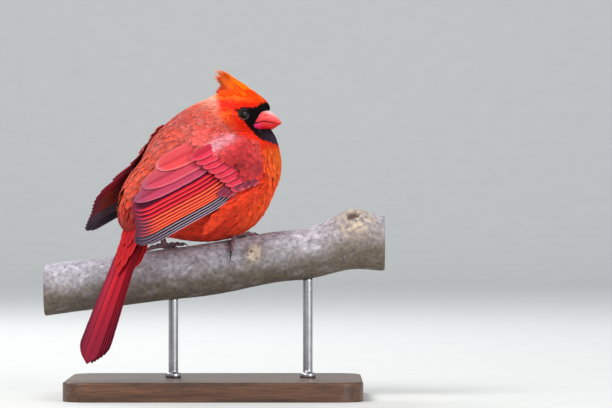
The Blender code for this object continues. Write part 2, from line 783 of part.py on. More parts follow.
def tail_covert(along_tip, across, half_width, lift, length):
    """One feather of the tail's coverts; a negative lift puts it under the tail."""
    shares = np.array([0.0, 0.4, 0.75, 0.93, 1.0])
    along = (along_tip - length * (1 - shares)) * MM
    widths = half_width * MM * np.array([0.8, 1.0, 0.8, 0.45, 0.15])
    stations = np.stack([along, across * MM * (0.6 + 0.4 * shares)], axis=1)

    def layer(there, side):
        return lift * MM + 0 * there

    return vane("tail_covert", tail_place, stations, widths, layer, 0.6 * MM, 0.0)


def make_tail(finish):
    """The tail: twelve lapped feathers with coverts above and below, rooted in its stump."""
    origin, along, sideways, dorsal = tail_frame()
    stump_centre = tail_place(np.array([4 * MM]), np.array([0.0]), np.array([0.4 * MM]))[0]
    stump = np.array([18, 8.6, 6.4]) * MM
    tail = ellipsoid("tail", stump_centre, np.array([along, sideways, dorsal]), stump, 12, 16, finish)
    feathers = [rectrix(rank, sign) for rank in range(6) for sign in (1, -1)]
    for along_tip, across, half_width, lift, length in (
        (46, 0.0, 3.8, 4.4, 38), (36, 4.2, 3.6, 5.4, 32), (36, -4.2, 3.6, 5.4, 32),
        (42, 0.0, 5.0, -4.9, 38),
    ):
        feathers.append(tail_covert(along_tip, across, half_width, lift, length))
    join(tail, feathers, "MANIFOLD")
    cut(tail, [torso_cutter()], "MANIFOLD")
    return tail


def branch_axis(x):
    """Centre (y, z) and radius of the branch at x, from a smooth rise to the right and its knot."""
    swell = 2.3 * MM * np.exp(-((x - 40 * MM) / (22 * MM)) ** 2)
    knot = 7.2 * MM * np.exp(-((x - 86 * MM) / (20 * MM)) ** 2)
    radius = BRANCH_RADIUS + 0.3 * MM * np.cos(x / (19 * MM)) + 0.36 * knot
    return 1.5 * MM * np.sin(x / (60 * MM)), BRANCH_HEIGHT + 0.125 * x + swell + knot, radius


def branch_point(x, turn, clearance=0.0):
    """A point at a clearance from the bark; turn 0 is the top and a quarter turn faces -Y."""
    centre_y, centre_z, radius = branch_axis(x)
    reach = radius + clearance
    y, z = centre_y - reach * np.sin(turn), centre_z + reach * np.cos(turn)
    return np.stack([x + 0 * turn, y, z], axis=-1)


def branch_solid(name, clearance, rings, sectors, finish=None):
    """The cut length of branch, or a copy of it grown by a clearance."""
    xs = np.linspace(-BRANCH_HALF_LENGTH - clearance, BRANCH_HALF_LENGTH + clearance, rings)
    turns = np.linspace(0, 2 * pi, sectors, endpoint=False)
    grid_x, grid_turn = np.meshgrid(xs, turns, indexing="ij")
    ripple = 0.35 * MM * np.sin(3 * grid_turn + grid_x / (14 * MM)) * np.sin(grid_x / (23 * MM) + 1)
    points = branch_point(grid_x, grid_turn, clearance + ripple).reshape(-1, 3)
    ends = [np.array([x, *branch_axis(x)[:2]]) for x in (xs[0], xs[-1])]
    faces = closed_grid(rings, sectors, len(points), len(points) + 1)
    return new_object(name, np.vstack([points, ends]), faces, finish)


# Toes, in mm and degrees: start and end along the branch from the foot, start and end turn round it
TOES = {
    "right": {
        "outer": ((1, 12.5), (-1, -22), 5.5, 1.0),
        "middle": ((1, 12.0), (-3, -58), 6.0, 1.05),
        "inner": ((0, 4.5), (-3, -48), 5.0, 0.95),
        "hind": ((0, -2.0), (3, 58), 8.5, 1.1),
    },
    "left": {
        "outer": ((0, 3.5), (-3, -52), 5.5, 1.0),
        "middle": ((1, 11.5), (-3, -58), 6.0, 1.05),
        "inner": ((1, 11.5), (0, -12), 5.0, 0.95),
        "hind": ((0, -11.0), (1, 16), 8.0, 1.1),
    },
}
LEG_TOP = {"right": (9.0, 12.0, -30.0), "left": (-28.0, -13.0, -26.0)}


def toe(foot_x, span, turns, claw_length, thickness):
    """One toe wrapped on the bark with a pad at each joint, and its curved claw."""
    shares = np.linspace(0, 1, 7)
    xs = foot_x + (span[0] + (span[1] - span[0]) * shares) * MM
    turn = np.radians(turns[0] + (turns[1] - turns[0]) * shares)
    pads = 1 + 0.12 * np.cos(shares * 6 * pi) - 0.22 * shares
    radii = TOE_RADIUS * thickness * pads
    path = branch_point(xs, turn, radii + TOE_CLEARANCE + 0.45 * MM * np.sin(pi * shares))
    claw_shares = np.linspace(0, 1, 4)[1:]
    direction_x = (xs[-1] - xs[-2]) / (abs(turn[-1] - turn[-2]) * BRANCH_RADIUS + abs(xs[-1] - xs[-2]))
    direction_turn = (turn[-1] - turn[-2]) * BRANCH_RADIUS / (
        abs(turn[-1] - turn[-2]) * BRANCH_RADIUS + abs(xs[-1] - xs[-2]))
    claw_x = xs[-1] + direction_x * claw_length * MM * claw_shares * 0.9
    claw_turn = turn[-1] + direction_turn * claw_length * MM / BRANCH_RADIUS * claw_shares * 0.9
    claw_radii = 0.72 * MM * thickness * (1 - 0.72 * claw_shares)
    arch = 1.3 * MM * np.sin(pi * np.minimum(claw_shares * 0.9 + 0.1, 1)) * (1 - claw_shares)
    claw = branch_point(claw_x, claw_turn, claw_radii + TOE_CLEARANCE + arch)
    points = np.vstack([path, claw])
    sizes = np.concatenate([radii, claw_radii])
    return tube("toe", points, sizes, 6, up=(0.3, 0.2, 0.93) if abs(turns[1]) < 40 else (1, 0.1, 0.1))


def make_leg(side, finish):
    """A tarsus with its four toes, gripping the branch and running up into the belly feathers."""
    foot_x = FOOT_PLACE[side]
    foot = branch_point(np.array([foot_x]), np.array([0.0]), 2.2 * MM)[0]
    top = body_point(LEG_TOP[side])
    shares = np.linspace(0, 1, 6)[:, None]
    path = foot + (top - foot) * shares
    widths = TARSUS_RADIUS * (1 + 0.35 * (1 - shares[:, 0]) ** 3)
    leg = tube(f"leg_{side}", path, widths, 8, finish, up=(0, 1, 0.1))
    pieces = [ellipsoid("ball", foot, np.eye(3), np.array([2.3, 2.0, 1.45]) * MM, 6, 10)]
    pieces += [toe(foot_x, *sizes) for sizes in TOES[side].values()]
    join(leg, pieces)
    cut(leg, [torso_cutter()])
    return leg


def make_base(finish):
    """The stand's flat base: a slab with rounded corners and an eased top edge."""
    shape = bmesh.new()
    corner, ease, steps = 16 * MM, 1.6 * MM, 6
    outline = []
    for quarter, (sign_x, sign_y) in enumerate(((1, 1), (-1, 1), (-1, -1), (1, -1))):
        for step in range(steps + 1):
            angle = (quarter + step / steps) * pi / 2
            outline.append((sign_x * (BASE_LENGTH / 2 - corner) + corner * cos(angle),
                            sign_y * (BASE_DEPTH / 2 - corner) + corner * sin(angle)))
    levels = ((0.0, 1.0), (BASE_HEIGHT - ease, 1.0), (BASE_HEIGHT, 0.0))
    rings = []
    for height, full in levels:
        inset = ease * (1 - full)
        ring = []
        for x, y in outline:
            narrower = x * (1 - 2 * inset / BASE_LENGTH), y * (1 - 2 * inset / BASE_DEPTH)
            ring.append(shape.verts.new((*narrower, height)))
        rings.append(ring)
    for lower, upper in zip(rings, rings[1:]):
        for here in range(len(outline)):
            after = (here + 1) % len(outline)
            shape.faces.new((lower[here], lower[after], upper[after], upper[here]))
    shape.faces.new(rings[0][::-1])
    shape.faces.new(rings[-1])
    bmesh.ops.recalc_face_normals(shape, faces=shape.faces)
    mesh = bpy.data.meshes.new("stand_base")
    shape.to_mesh(mesh)
    shape.free()
    mesh.materials.append(finish)
    made = bpy.data.objects.new("stand_base", mesh)
    bpy.context.scene.collection.objects.link(made)
    return made


def make_rods(finish):
    """The two rods from the base up to the underside of the branch."""
    for name, x in ROD_PLACES.items():
        low = np.array([x, 0.0, BASE_HEIGHT + GAP])
        high = np.array([x, 0.0, branch_axis(x)[1] - 8 * MM])
        rod = tube(name, [low, (low + high) / 2, high], [ROD_RADIUS] * 3, 16, finish, up=(0, 1, 0))
        cut(rod, [branch_solid("branch_cutter", GAP, 36, 16)])


def clear_scene():
    """Removes every object of the startup scene."""
    for found in list(bpy.data.objects):
        bpy.data.objects.remove(found)


def main():
    clear_scene()
    body = material("body_plumage", SCARLET, 0.85)
    crown = material("head_plumage", ORANGE_RED, 0.85)
    wing = material("wing_feathers", ROSE, 0.7)
    tail = material("tail_feathers", SCARLET, 0.7)
    bill = material("bill", CORAL, 0.35)
    eye = material("eye", NEAR_BLACK, 0.08)
    leg = material("leg", BROWN, 0.55)
    bark = material("bark", BARK, 0.9)
    wood = material("stand_wood", WALNUT, 0.45)
    steel = material("stand_steel", STEEL, 0.35)
    make_torso(body)
    make_neck(body)
    make_head(crown)
    make_crest(crown)
    make_bill(bill)
    make_eye("eye_right", 1, eye)
    make_eye("eye_left", -1, eye)
    for side in ("right", "left"):
        make_wing(side, wing)
        make_leg(side, leg)
    make_tail(tail)
    branch_solid("perch", 0.0, 36, 16, bark)
    make_base(wood)
    make_rods(steel)


main()
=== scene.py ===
"""Looks of a life-size male northern cardinal, puffed up on a cut length of branch on a stand.

Every surface is worked out as whole numpy arrays from the named sizes below, in metres, in the
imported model's frame: +Z up, origin under the middle of the base, the viewer looking along +Y.
The bird stands with its back half turned to the viewer and shows the right side of its head.
"""

import json
import logging
from dataclasses import dataclass
from enum import Enum
from math import cos, pi, radians, sin
from typing import Callable, Sequence

import bpy
import numpy as np
from mathutils import Matrix

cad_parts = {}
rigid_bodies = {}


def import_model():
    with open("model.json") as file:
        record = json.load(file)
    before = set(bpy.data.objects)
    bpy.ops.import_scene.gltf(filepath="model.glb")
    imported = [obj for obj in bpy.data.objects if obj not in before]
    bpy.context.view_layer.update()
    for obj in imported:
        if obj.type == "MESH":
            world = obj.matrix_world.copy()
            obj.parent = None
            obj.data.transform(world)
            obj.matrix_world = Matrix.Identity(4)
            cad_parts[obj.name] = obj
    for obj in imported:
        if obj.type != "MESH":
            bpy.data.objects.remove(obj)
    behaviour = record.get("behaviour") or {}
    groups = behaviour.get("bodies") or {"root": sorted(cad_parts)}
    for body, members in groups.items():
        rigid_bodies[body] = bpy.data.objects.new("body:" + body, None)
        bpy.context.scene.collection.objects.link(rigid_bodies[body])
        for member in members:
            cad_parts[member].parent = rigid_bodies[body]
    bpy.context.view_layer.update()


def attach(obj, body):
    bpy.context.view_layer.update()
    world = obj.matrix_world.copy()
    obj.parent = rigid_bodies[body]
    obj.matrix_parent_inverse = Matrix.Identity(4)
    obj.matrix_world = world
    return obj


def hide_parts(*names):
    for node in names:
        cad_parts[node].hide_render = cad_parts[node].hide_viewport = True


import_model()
LOG = logging.getLogger("cardinal")
MM = 0.001
Array = np.ndarray
Colour = np.ndarray | tuple[float, float, float]
Material, Piece, Socket = bpy.types.Material, bpy.types.Object, bpy.types.NodeSocket


# ---- small mathematics ----


def unit(vector: Array) -> Array:
    """Each vector along the last axis, divided by its length."""
    vector = np.asarray(vector, float)
    return vector / (np.linalg.norm(vector, axis=-1, keepdims=True) + 1e-12)


def square_to(vector: Array, axis: Array) -> Array:
    """Each vector less its share along a unit axis, as a unit vector."""
    return unit(vector - axis * (vector * axis).sum(axis=-1, keepdims=True))


def smooth(low: float, high: float, value: Array) -> Array:
    """Zero below low, one above high, and 3t^2 - 2t^3 of the share t between them."""
    share = np.clip((np.asarray(value, float) - low) / (high - low), 0, 1)
    return share * share * (3 - 2 * share)


def bell(value: Array, middle: float = 0.0, width: float = 1.0) -> Array:
    """e to the minus square of the distance from a middle, in widths."""
    return np.exp(-(((value - middle) / width) ** 2))


def mix(first: Array | float, second: Array | float, mask: Array) -> Array:
    """The first value with the second laid over it by a mask from zero to one."""
    return first + (second - first) * mask


def paint(colour: Colour) -> Array:
    """A display colour of 0 to 255 as linear light, ((c + .055) / 1.055)^2.4; arrays are linear."""
    if isinstance(colour, np.ndarray):
        return colour
    value = np.array(colour, float) / 255
    return np.where(value < 0.04045, value / 12.92, ((value + 0.055) / 1.055) ** 2.4)


def layered(ground: Colour, *layers: tuple[Colour, Array]) -> Array:
    """A ground with colours laid over it in turn, each by its mask from zero to one."""
    found = paint(ground)
    for colour, mask in layers:
        found = mix(found, paint(colour), np.asarray(mask)[..., None])
    return found


def scatter(count: int, seed: float = 0.0) -> tuple[Array, Array]:
    """Two even sequences of shares: the fractions of n/g and n/g^2, with g^3 = g + 1."""
    number = np.arange(count) + 1
    return (0.5 + seed + number * 0.7548776662) % 1, (0.5 + 0.37 * seed + number * 0.5698402910) % 1


def ripple(points: Array, size: float, seed: float = 0.0) -> Array:
    """Soft mottling from -1 to 1: products of sines of the place turned three ways.

    Args:
        points: places, in metres.
        size: rough width of one patch, in metres.
        seed: shifts the pattern.

    Returns:
        One value a place.
    """
    turned = points / size * 2.4
    x, y, z = turned[..., 0] + seed, turned[..., 1] - 2 * seed, turned[..., 2] + 3 * seed
    first = np.sin(x + 1.7 * np.sin(0.8 * y + 0.4 * z)) * np.cos(0.9 * z - 0.5 * y + 1.3 * np.sin(0.7 * x))
    second = np.sin(2.3 * y + 1.1 * z + seed) * np.cos(2.1 * x - 1.7 * z)
    return 0.65 * first + 0.35 * second


def circle(count: int) -> Array:
    """Even angles round a full turn."""
    return np.linspace(0, 2 * pi, count, endpoint=False)


def level_axes(heading: float) -> Array:
    """Rows forward, right and up of something level that faces a heading from +X."""
    return np.array([[cos(heading), sin(heading), 0], [sin(heading), -cos(heading), 0], [0, 0, 1]])


# ---- meshes ----


def triangles(a: Array, b: Array, c: Array, d: Array) -> Array:
    """Two triangles for each quad of four grids of corners: all the first halves, then the rest."""
    return np.concatenate([np.stack(part, axis=-1).reshape(-1, 3) for part in ((a, b, c), (a, c, d))])


def plate_faces(rows: int, columns: int) -> Array:
    """Triangles of a closed thin plate whose upper grid is numbered before its lower grid."""
    count = rows * columns
    index = np.arange(count).reshape(rows, columns)
    a, b, c, d = (part.ravel() for part in (index[:-1, :-1], index[:-1, 1:], index[1:, 1:], index[1:, :-1]))
    rim = np.concatenate([index[0], index[1:, -1], index[-1, -2::-1], index[-2:0:-1, 0]])
    after = np.roll(rim, -1)
    parts = [(a, b, c), (a, c, d), (a + count, c + count, b + count), (a + count, d + count, c + count),
             (after, rim, rim + count), (after, rim + count, after + count)]
    return np.concatenate([np.stack(part, axis=1) for part in parts])


def ball_faces(rows: int, columns: int) -> Array:
    """Triangles of a grid that wraps round and closes on two poles numbered after the grid."""
    count = rows * columns
    index = np.arange(count).reshape(rows, columns)
    after = np.roll(index, -1, axis=1)
    caps = [np.stack([np.full(columns, count), after[0], index[0]], axis=1),
            np.stack([np.full(columns, count + 1), index[-1], after[-1]], axis=1)]
    return np.concatenate([triangles(index[:-1], after[:-1], after[1:], index[1:])] + caps)


def repeated(faces: Array, copies: int, stride: int) -> Array:
    """The faces of many like pieces, each numbered a stride after the last."""
    return (faces[None] + (np.arange(copies) * stride)[:, None, None]).reshape(-1, faces.shape[1])


def signed_volume(points: Array, faces: Array) -> float:
    """Sum of a.(b x c)/6 over the triangles, positive where faces point outwards."""
    a, b, c = (points[faces[:, corner]] for corner in range(3))
    return float(np.einsum("ij,ij->i", a - points[0], np.cross(b - points[0], c - points[0])).sum() / 6)


@dataclass(frozen=True)
class Dress:
    """What a piece is made of and for: its slot, its material or materials, and its CAD nodes."""

    slot: str
    finish: Material | tuple[Material, ...]
    nodes: tuple[str, ...]


def new_piece(
    name: str, points: Array, faces: Array, dress: Dress, tint: Array | None = None,
    maps: dict[str, Array] | None = None, normals: Array | None = None,
    finish_of_face: Array | None = None, flat: bool = False,
) -> Piece:
    """Puts arrays into a mesh object that rides on the still body, its faces turned outwards.

    Args:
        name: the piece's name.
        points: vertices, any leading shape.
        faces: triangles as vertex numbers.
        dress: its materials and the nodes that it replaces; its slot is not used.
        tint: a linear colour for each vertex, kept as the attribute Tint.
        maps: UV maps by name, a pair for each vertex.
        normals: shading normals for each vertex.
        finish_of_face: which material each face has.
        flat: shades each face flat.

    Returns:
        The new object.
    """
    points = np.ascontiguousarray(points.reshape(-1, 3), dtype=np.float32)
    faces = np.ascontiguousarray(faces, dtype=np.int32)
    if signed_volume(points.astype(float), faces) < 0:
        faces = np.ascontiguousarray(faces[:, ::-1])
    mesh = bpy.data.meshes.new(name)
    mesh.vertices.add(len(points))
    mesh.vertices.foreach_set("co", points.ravel())
    mesh.loops.add(faces.size)
    mesh.loops.foreach_set("vertex_index", faces.ravel())
    mesh.polygons.add(len(faces))
    mesh.polygons.foreach_set("loop_start", np.arange(len(faces), dtype=np.int32) * 3)
    mesh.update(calc_edges=True)
    mesh.polygons.foreach_set("use_smooth", np.full(len(faces), not flat))
    for material in dress.finish if isinstance(dress.finish, tuple) else (dress.finish,):
        mesh.materials.append(material)
    if finish_of_face is not None:
        mesh.polygons.foreach_set("material_index", finish_of_face.astype(np.int32))
    for map_name, pairs in (maps or {}).items():
        layer = mesh.uv_layers.new(name=map_name)
        layer.uv.foreach_set("vector", pairs.reshape(-1, 2)[faces.ravel()].astype(np.float32).ravel())
    if tint is not None:
        colours = np.ones((len(points), 4), dtype=np.float32)
        colours[:, :3] = tint.reshape(-1, 3)
        layer = mesh.attributes.new(name="Tint", type="FLOAT_COLOR", domain="POINT")
        layer.data.foreach_set("color", colours.ravel())
    if normals is not None:
        mesh.normals_split_custom_set_from_vertices(unit(normals.reshape(-1, 3)).tolist())
    made = bpy.data.objects.new(name, mesh)
    bpy.context.scene.collection.objects.link(made)
    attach(made, "root")
    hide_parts(*dress.nodes)
    LOG.info("%s: %d triangles", name, len(faces))
    return made


# ---- stance ----


class Side(Enum):
    """Which side of the bird, as the sign of its right."""

    RIGHT = 1
    LEFT = -1

    @property
    def label(self) -> str:
        """The side in a piece's name."""
        return self.name.lower()


class Seat:
    """A level frame that the trunk or the head stands in."""

    def __init__(self, centre: Sequence[float], heading: float) -> None:
        """Keeps the centre, given in mm, and rows forward, right and up from a heading in degrees."""
        self.centre = np.array(centre) * MM
        self.axes = level_axes(radians(heading))

    def place(self, local: Array) -> Array:
        """Places forward, right and up of the centre in mm, in the model's frame."""
        return self.centre + np.asarray(local, float) * MM @ self.axes

    def local(self, points: Array) -> Array:
        """Points of the model's frame, forward, right and up of the centre in mm."""
        return (points - self.centre) @ self.axes.T / MM


TRUNK, HEAD = Seat((-6.2, 0.0, 142.0), 32), Seat((14.4, 11.0, 181.0), 4)
TRUNK_PITCH = radians(40)
NECK_AXIS = unit(HEAD.centre - TRUNK.centre)


def below_head(points: Array) -> Array:
    """How far down the neck's axis places lie from the head's centre, in mm."""
    return (HEAD.centre - points) @ NECK_AXIS / MM


def trunk_places(points: Array) -> tuple[Array, Array, Array, Array]:
    """Forward and up of the trunk's centre, then up and forward of its slope, in mm."""
    place = TRUNK.local(points)
    f, u = place[..., 0], place[..., 2]
    return f, u, -sin(TRUNK_PITCH) * f + cos(TRUNK_PITCH) * u, cos(TRUNK_PITCH) * f + sin(TRUNK_PITCH) * u


def bill_places(points: Array) -> tuple[Array, Array, Array]:
    """Forward, sideways and up of the head's centre, in mm, with sideways always positive."""
    place = HEAD.local(points)
    return place[..., 0], np.abs(place[..., 1]), place[..., 2]


EYE_PLACE = (2.2, -4.1)


def eye_distance(f: Array, u: Array) -> Array:
    """Distance in mm from the eye's middle, seen from the side."""
    return np.hypot(f - EYE_PLACE[0], u - EYE_PLACE[1])


def bill_base(rise: Array) -> Array:
    """How far forward of the head's centre the feathers reach beside the bill, by height, in mm."""
    return np.interp(rise, (-15.5, -14.1, -11, -7.6, -4.1, -1, 0.5), (11.5, 10.4, 9.4, 11.2, 13.4, 16.9, 19.0))


def culmen_height(forward: Array) -> Array:
    """Height of the bill's upper ridge by distance forward, in mm."""
    return np.interp(forward, (9, 17.3, 21.3), (1.5, -0.9, -2.9))


def bill_room(f: Array, u: Array) -> Array:
    """The bill's own half width in mm, an arch over the mouth line."""
    wide = np.interp(f, (3, 9, 12, 15, 20, 24.5, 27), (6.9, 6.8, 6.4, 5.8, 4.3, 2.3, 0.7))
    rise = np.where(u > -9.6, (u + 9.6) / (culmen_height(f) + 9.6), (-9.6 - u) / 5.6)
    return wide * np.sqrt(1 - np.clip(rise, 0, 0.8) ** 2.5)


def face_room(points: Array) -> Array:
    """Half width that the face may have, in mm: the bill's own with a margin that opens from less
    than nothing in front of the bill's base to several millimetres at the cheek, and widens again
    above the culmen and under the chin.
    """
    f, _, u = bill_places(points)
    margin = np.interp(f - bill_base(u), (-40, -16, -11, -7, -3, 0, 0.7, 2), (60, 16, 9, 5.2, 2.6, 0.9, -0.7, -1.2))
    chin = np.maximum(-12 - u, 0)
    above = np.maximum(u - culmen_height(f) + 2.5, 0)
    return bill_room(f, u) + margin + 1.3 * chin + 0.06 * chin**2 + 1.6 * above


# Ellipsoids of the body's outline: centre (three) and half sizes (three) in mm, pitch in degrees
TRUNK_SWELLINGS = (
    (-1, 0, -1, 48, 33, 38, 40), (8.5, 0, -14, 34, 35, 29.5, 20), (21.5, 0, 5.5, 26, 29, 30, 55),
    (1, 0, 21.5, 22.5, 20, 17.5, 50), (-40, -1, -15, 19, 18, 15.5, 62), (-49, -1, -25, 14, 11, 10.5, 64),
    (-31, 0, -27, 17, 18, 12, 55),
)
HEAD_SWELLINGS = (
    (-2, 0, 0.5, 15, 9.8, 11, 0), (-3, 0, -7, 13, 11, 9, 0), (9.5, 0, 1, 10, 5.0, 6, -18),
    (5, 0, -7, 7.5, 6.5, 7, -10), (4.5, 0, -16.5, 8.5, 8.5, 7, 20), (-10, 0, -8, 10, 11.5, 12, 50),
    (9.5, 0, -22.5, 12, 13, 10, 0),
)


class Plumage:
    """The outline of the body feathers, as a soft union of ellipsoids."""

    blend: float = 2.7 * MM
    narrow: float = 0.5 * MM

    def __init__(self) -> None:
        """Places every ellipsoid in the model's frame, its first axis raised by its pitch."""
        self.parts = []
        for seat, swellings in ((TRUNK, TRUNK_SWELLINGS), (HEAD, HEAD_SWELLINGS)):
            for *numbers, pitch in swellings:
                c, s = cos(radians(pitch)), sin(radians(pitch))
                turn = np.array([[c, 0, s], [0, 1, 0], [-s, 0, c]])
                self.parts.append((seat.place(numbers[:3]), turn @ seat.axes, np.array(numbers[3:]) * MM))

    def height(self, points: Array) -> Array:
        """Distance-like height over the outline: -b log of the summed exp(-d/b) of the ellipsoids,
        joined by a soft maximum to how far a place stands outside the room beside the bill.

        Args:
            points: places of any leading shape.

        Returns:
            A height for each, negative inside.
        """
        total = np.zeros(points.shape[:-1])
        for centre, axes, sizes in self.parts:
            local = (points - centre) @ axes.T
            near = np.linalg.norm(local / sizes, axis=-1)
            slope = np.linalg.norm(local / sizes**2, axis=-1) + 1e-9
            total += np.exp(-np.clip(near * (near - 1) / slope, -0.2, 0.2) / self.blend)
        union = -self.blend * np.log(total)
        outside = 0.75 * MM * (bill_places(points)[1] - face_room(points))
        return self.narrow * np.logaddexp(union / self.narrow, outside / self.narrow)

    def outward(self, points: Array, step: float = 0.4 * MM) -> Array:
        """Unit gradient of the height, by differences over a step."""
        here = self.height(points)
        return unit(np.stack([self.height(points + step * axis) - here for axis in np.eye(3)], axis=-1))

    def settled(self, points: Array, height: Array, outward: Array) -> Array:
        """Points slid along a direction to a wanted height over the outline, in two steps."""
        for _ in range(2):
            points = points + outward * (height - self.height(points))[..., None]
        return points


PLUMAGE = Plumage()


# ---- shading ----


class Sketch:
    """Adds and joins the nodes of one node tree."""

    def __init__(self, tree: bpy.types.NodeTree) -> None:
        """Keeps the tree."""
        self.tree = tree

    def feed(self, socket: Socket, value: object) -> None:
        """Joins a socket to an input, or sets the input to a value; a plain colour gets its alpha."""
        if isinstance(value, Socket):
            self.tree.links.new(value, socket)
        else:
            socket.default_value = (*value, 1) if socket.type == "RGBA" else value

    def add(self, kind: str, inputs: dict | None = None, **settings: object) -> bpy.types.Node:
        """Makes a node of a kind, such as TexNoise, with settings and inputs by name or number."""
        node = self.tree.nodes.new(f"ShaderNode{kind}")
        for key, value in settings.items():
            setattr(node, key, value)
        for key, value in (inputs or {}).items():
            self.feed(node.inputs[key], value)
        return node

    def out(self, kind: str, inputs: dict | None = None, **settings: object) -> Socket:
        """The first output of a new node."""
        return self.add(kind, inputs, **settings).outputs[0]

    def times(self, first: object, second: object, operation: str = "MULTIPLY") -> Socket:
        """Two values multiplied, or joined by another operation."""
        return self.out("Math", {0: first, 1: second}, operation=operation)

    def vector(self, *parts: tuple[object, object]) -> Socket:
        """A vector whose parts are products of two."""
        return self.out("CombineXYZ", {number: self.times(*part) for number, part in enumerate(parts)})

    def span(self, value: object, low: float, high: float, to: tuple[float, float] = (0, 1)) -> Socket:
        """A value carried from low..high onto another range, held at its ends."""
        ends = {"From Min": low, "From Max": high, "To Min": to[0], "To Max": to[1]}
        return self.out("MapRange", {"Value": value, **ends})

    def blend(self, mask: object, first: object, second: object) -> Socket:
        """Two colours mixed by a mask."""
        return self.add("Mix", {0: mask, 6: first, 7: second}, data_type="RGBA").outputs[2]

    def noise(self, place: object, scale: object, detail: float = 3, roughness: float = 0.55) -> Socket:
        """Smooth noise at a place."""
        return self.out("TexNoise", {"Vector": place, "Scale": scale, "Detail": detail, "Roughness": roughness})


def new_group(
    name: str, inputs: dict[str, float], outputs: Sequence[str], draw: Callable[[Sketch, dict[str, Socket]], tuple],
) -> bpy.types.NodeTree:
    """A shader node group that puts out masks and heights.

    Args:
        name: the group's name.
        inputs: each number input with its usual value.
        outputs: names of its outputs.
        draw: adds the nodes, and gives what goes to each output.

    Returns:
        The group.
    """
    tree = bpy.data.node_groups.new(name, "ShaderNodeTree")
    for label, value in inputs.items():
        tree.interface.new_socket(label, in_out="INPUT", socket_type="NodeSocketFloat").default_value = value
    for label in outputs:
        tree.interface.new_socket(label, in_out="OUTPUT", socket_type="NodeSocketFloat")
    source, target = tree.nodes.new("NodeGroupInput"), tree.nodes.new("NodeGroupOutput")
    found = draw(Sketch(tree), {label: source.outputs[label] for label in inputs})
    for label, socket in zip(outputs, found):
        tree.links.new(socket, target.inputs[label])
    return tree


def draw_barbs(sketch: Sketch, given: dict[str, Socket]) -> tuple[Socket, Socket]:
    """Barbs of a feather, read from the map Barbs (across, along in mm): fine lines that slant
    outwards and forwards from the rib, broken up by noise drawn out along them.
    """
    across, ahead, _ = sketch.add("SeparateXYZ", {0: sketch.out("UVMap", uv_map="Barbs")}).outputs
    slant = sketch.times(sketch.out("Math", {0: across}, operation="ABSOLUTE"), given["Slant"])
    along = sketch.times(ahead, slant, "SUBTRACT")
    wave = sketch.out("TexNoise", {"Vector": sketch.vector((along, given["Lines"])), "Scale": 1.0, "Detail": 1.0})
    broad = sketch.noise(sketch.vector((along, 1.7), (across, 0.35)), 1.0, 2)
    mixed = sketch.out("Mix", {0: given["Break Up"], 2: wave, 3: broad})
    return sketch.span(mixed, 0.3, 0.7), wave


def draw_streaks(sketch: Sketch, given: dict[str, Socket]) -> tuple[Socket, Socket]:
    """Loose hair-like barbs of body feathers: noise on the map Barbs, drawn out along the tuft."""
    across, ahead, _ = sketch.add("SeparateXYZ", {0: sketch.out("UVMap", uv_map="Barbs")}).outputs
    fine = sketch.noise(sketch.vector((across, given["Fineness"]), (ahead, given["Length"])), 1.0, 3, 0.6)
    return sketch.span(fine, 0.28, 0.72), fine


def draw_grain(sketch: Sketch, given: dict[str, Socket]) -> tuple[Socket, Socket]:
    """Grain, blotches and pores on Object coordinates, in mm, stretched along +X."""
    x, y, z = sketch.add("SeparateXYZ", {0: sketch.add("TexCoord").outputs["Object"]}).outputs
    drawn = sketch.vector((x, given["Stretch"]), (y, 1.0), (z, 1.0))
    blotch = sketch.noise(drawn, sketch.times(1 / MM, given["Size"], "DIVIDE"), 4, 0.6)
    fine = sketch.noise(drawn, sketch.times(1 / MM, given["Fine Size"], "DIVIDE"), 4, 0.65)
    return sketch.span(blotch, 0.3, 0.7), sketch.span(fine, 0.25, 0.75)


BARBS = new_group("barbs", {"Slant": 0.5, "Lines": 3.0, "Break Up": 0.5}, ("Shade", "Height"), draw_barbs)
STREAKS = new_group("streaks", {"Fineness": 4.0, "Length": 0.35}, ("Shade", "Height"), draw_streaks)
GRAIN = new_group("grain", {"Size": 4.0, "Stretch": 0.2, "Fine Size": 0.8}, ("Blotch", "Fine"), draw_grain)


@dataclass(frozen=True)
class Finish:
    """A finish: its colours, gloss and relief. Each kind adds its own pattern."""

    name: str
    roughness: float = 0.6
    relief: float = 0.3
    relief_depth: float = 0.1 * MM
    sheen: float = 0.0
    sheen_roughness: float = 0.45
    coat: float = 0.0
    coat_roughness: float = 0.06
    specular: float = 0.5
    metal: float = 0.0

    def made(self) -> Material:
        """The finish as a material, with its pattern drawn by the kind's own nodes."""
        material = bpy.data.materials.new(self.name)
        material.use_nodes = True
        shader = material.node_tree.nodes["Principled BSDF"]
        sketch = Sketch(material.node_tree)
        colour, height = self.pattern(sketch)
        bump = sketch.out("Bump", {"Height": height, "Strength": self.relief, "Distance": self.relief_depth})
        for label, value in {
            "Roughness": self.roughness, "Specular IOR Level": self.specular, "Metallic": self.metal,
            "Sheen Weight": self.sheen, "Sheen Roughness": self.sheen_roughness, "Coat Weight": self.coat,
            "Coat Roughness": self.coat_roughness, "Base Color": colour, "Normal": bump,
        }.items():
            sketch.feed(shader.inputs[label], value)
        return material

    def pattern(self, sketch: Sketch) -> tuple[Socket, Socket]:
        """Colour and height sockets of the finish."""
        raise NotImplementedError


def tinted(sketch: Sketch, shade: Socket, low: float, high: float) -> Socket:
    """The piece's own tint, made darker or lighter by a shade carried onto a range."""
    tint = sketch.out("Attribute", attribute_name="Tint")
    return sketch.out("VectorMath", {0: tint, 3: sketch.span(shade, 0, 1, (low, high))}, operation="SCALE")


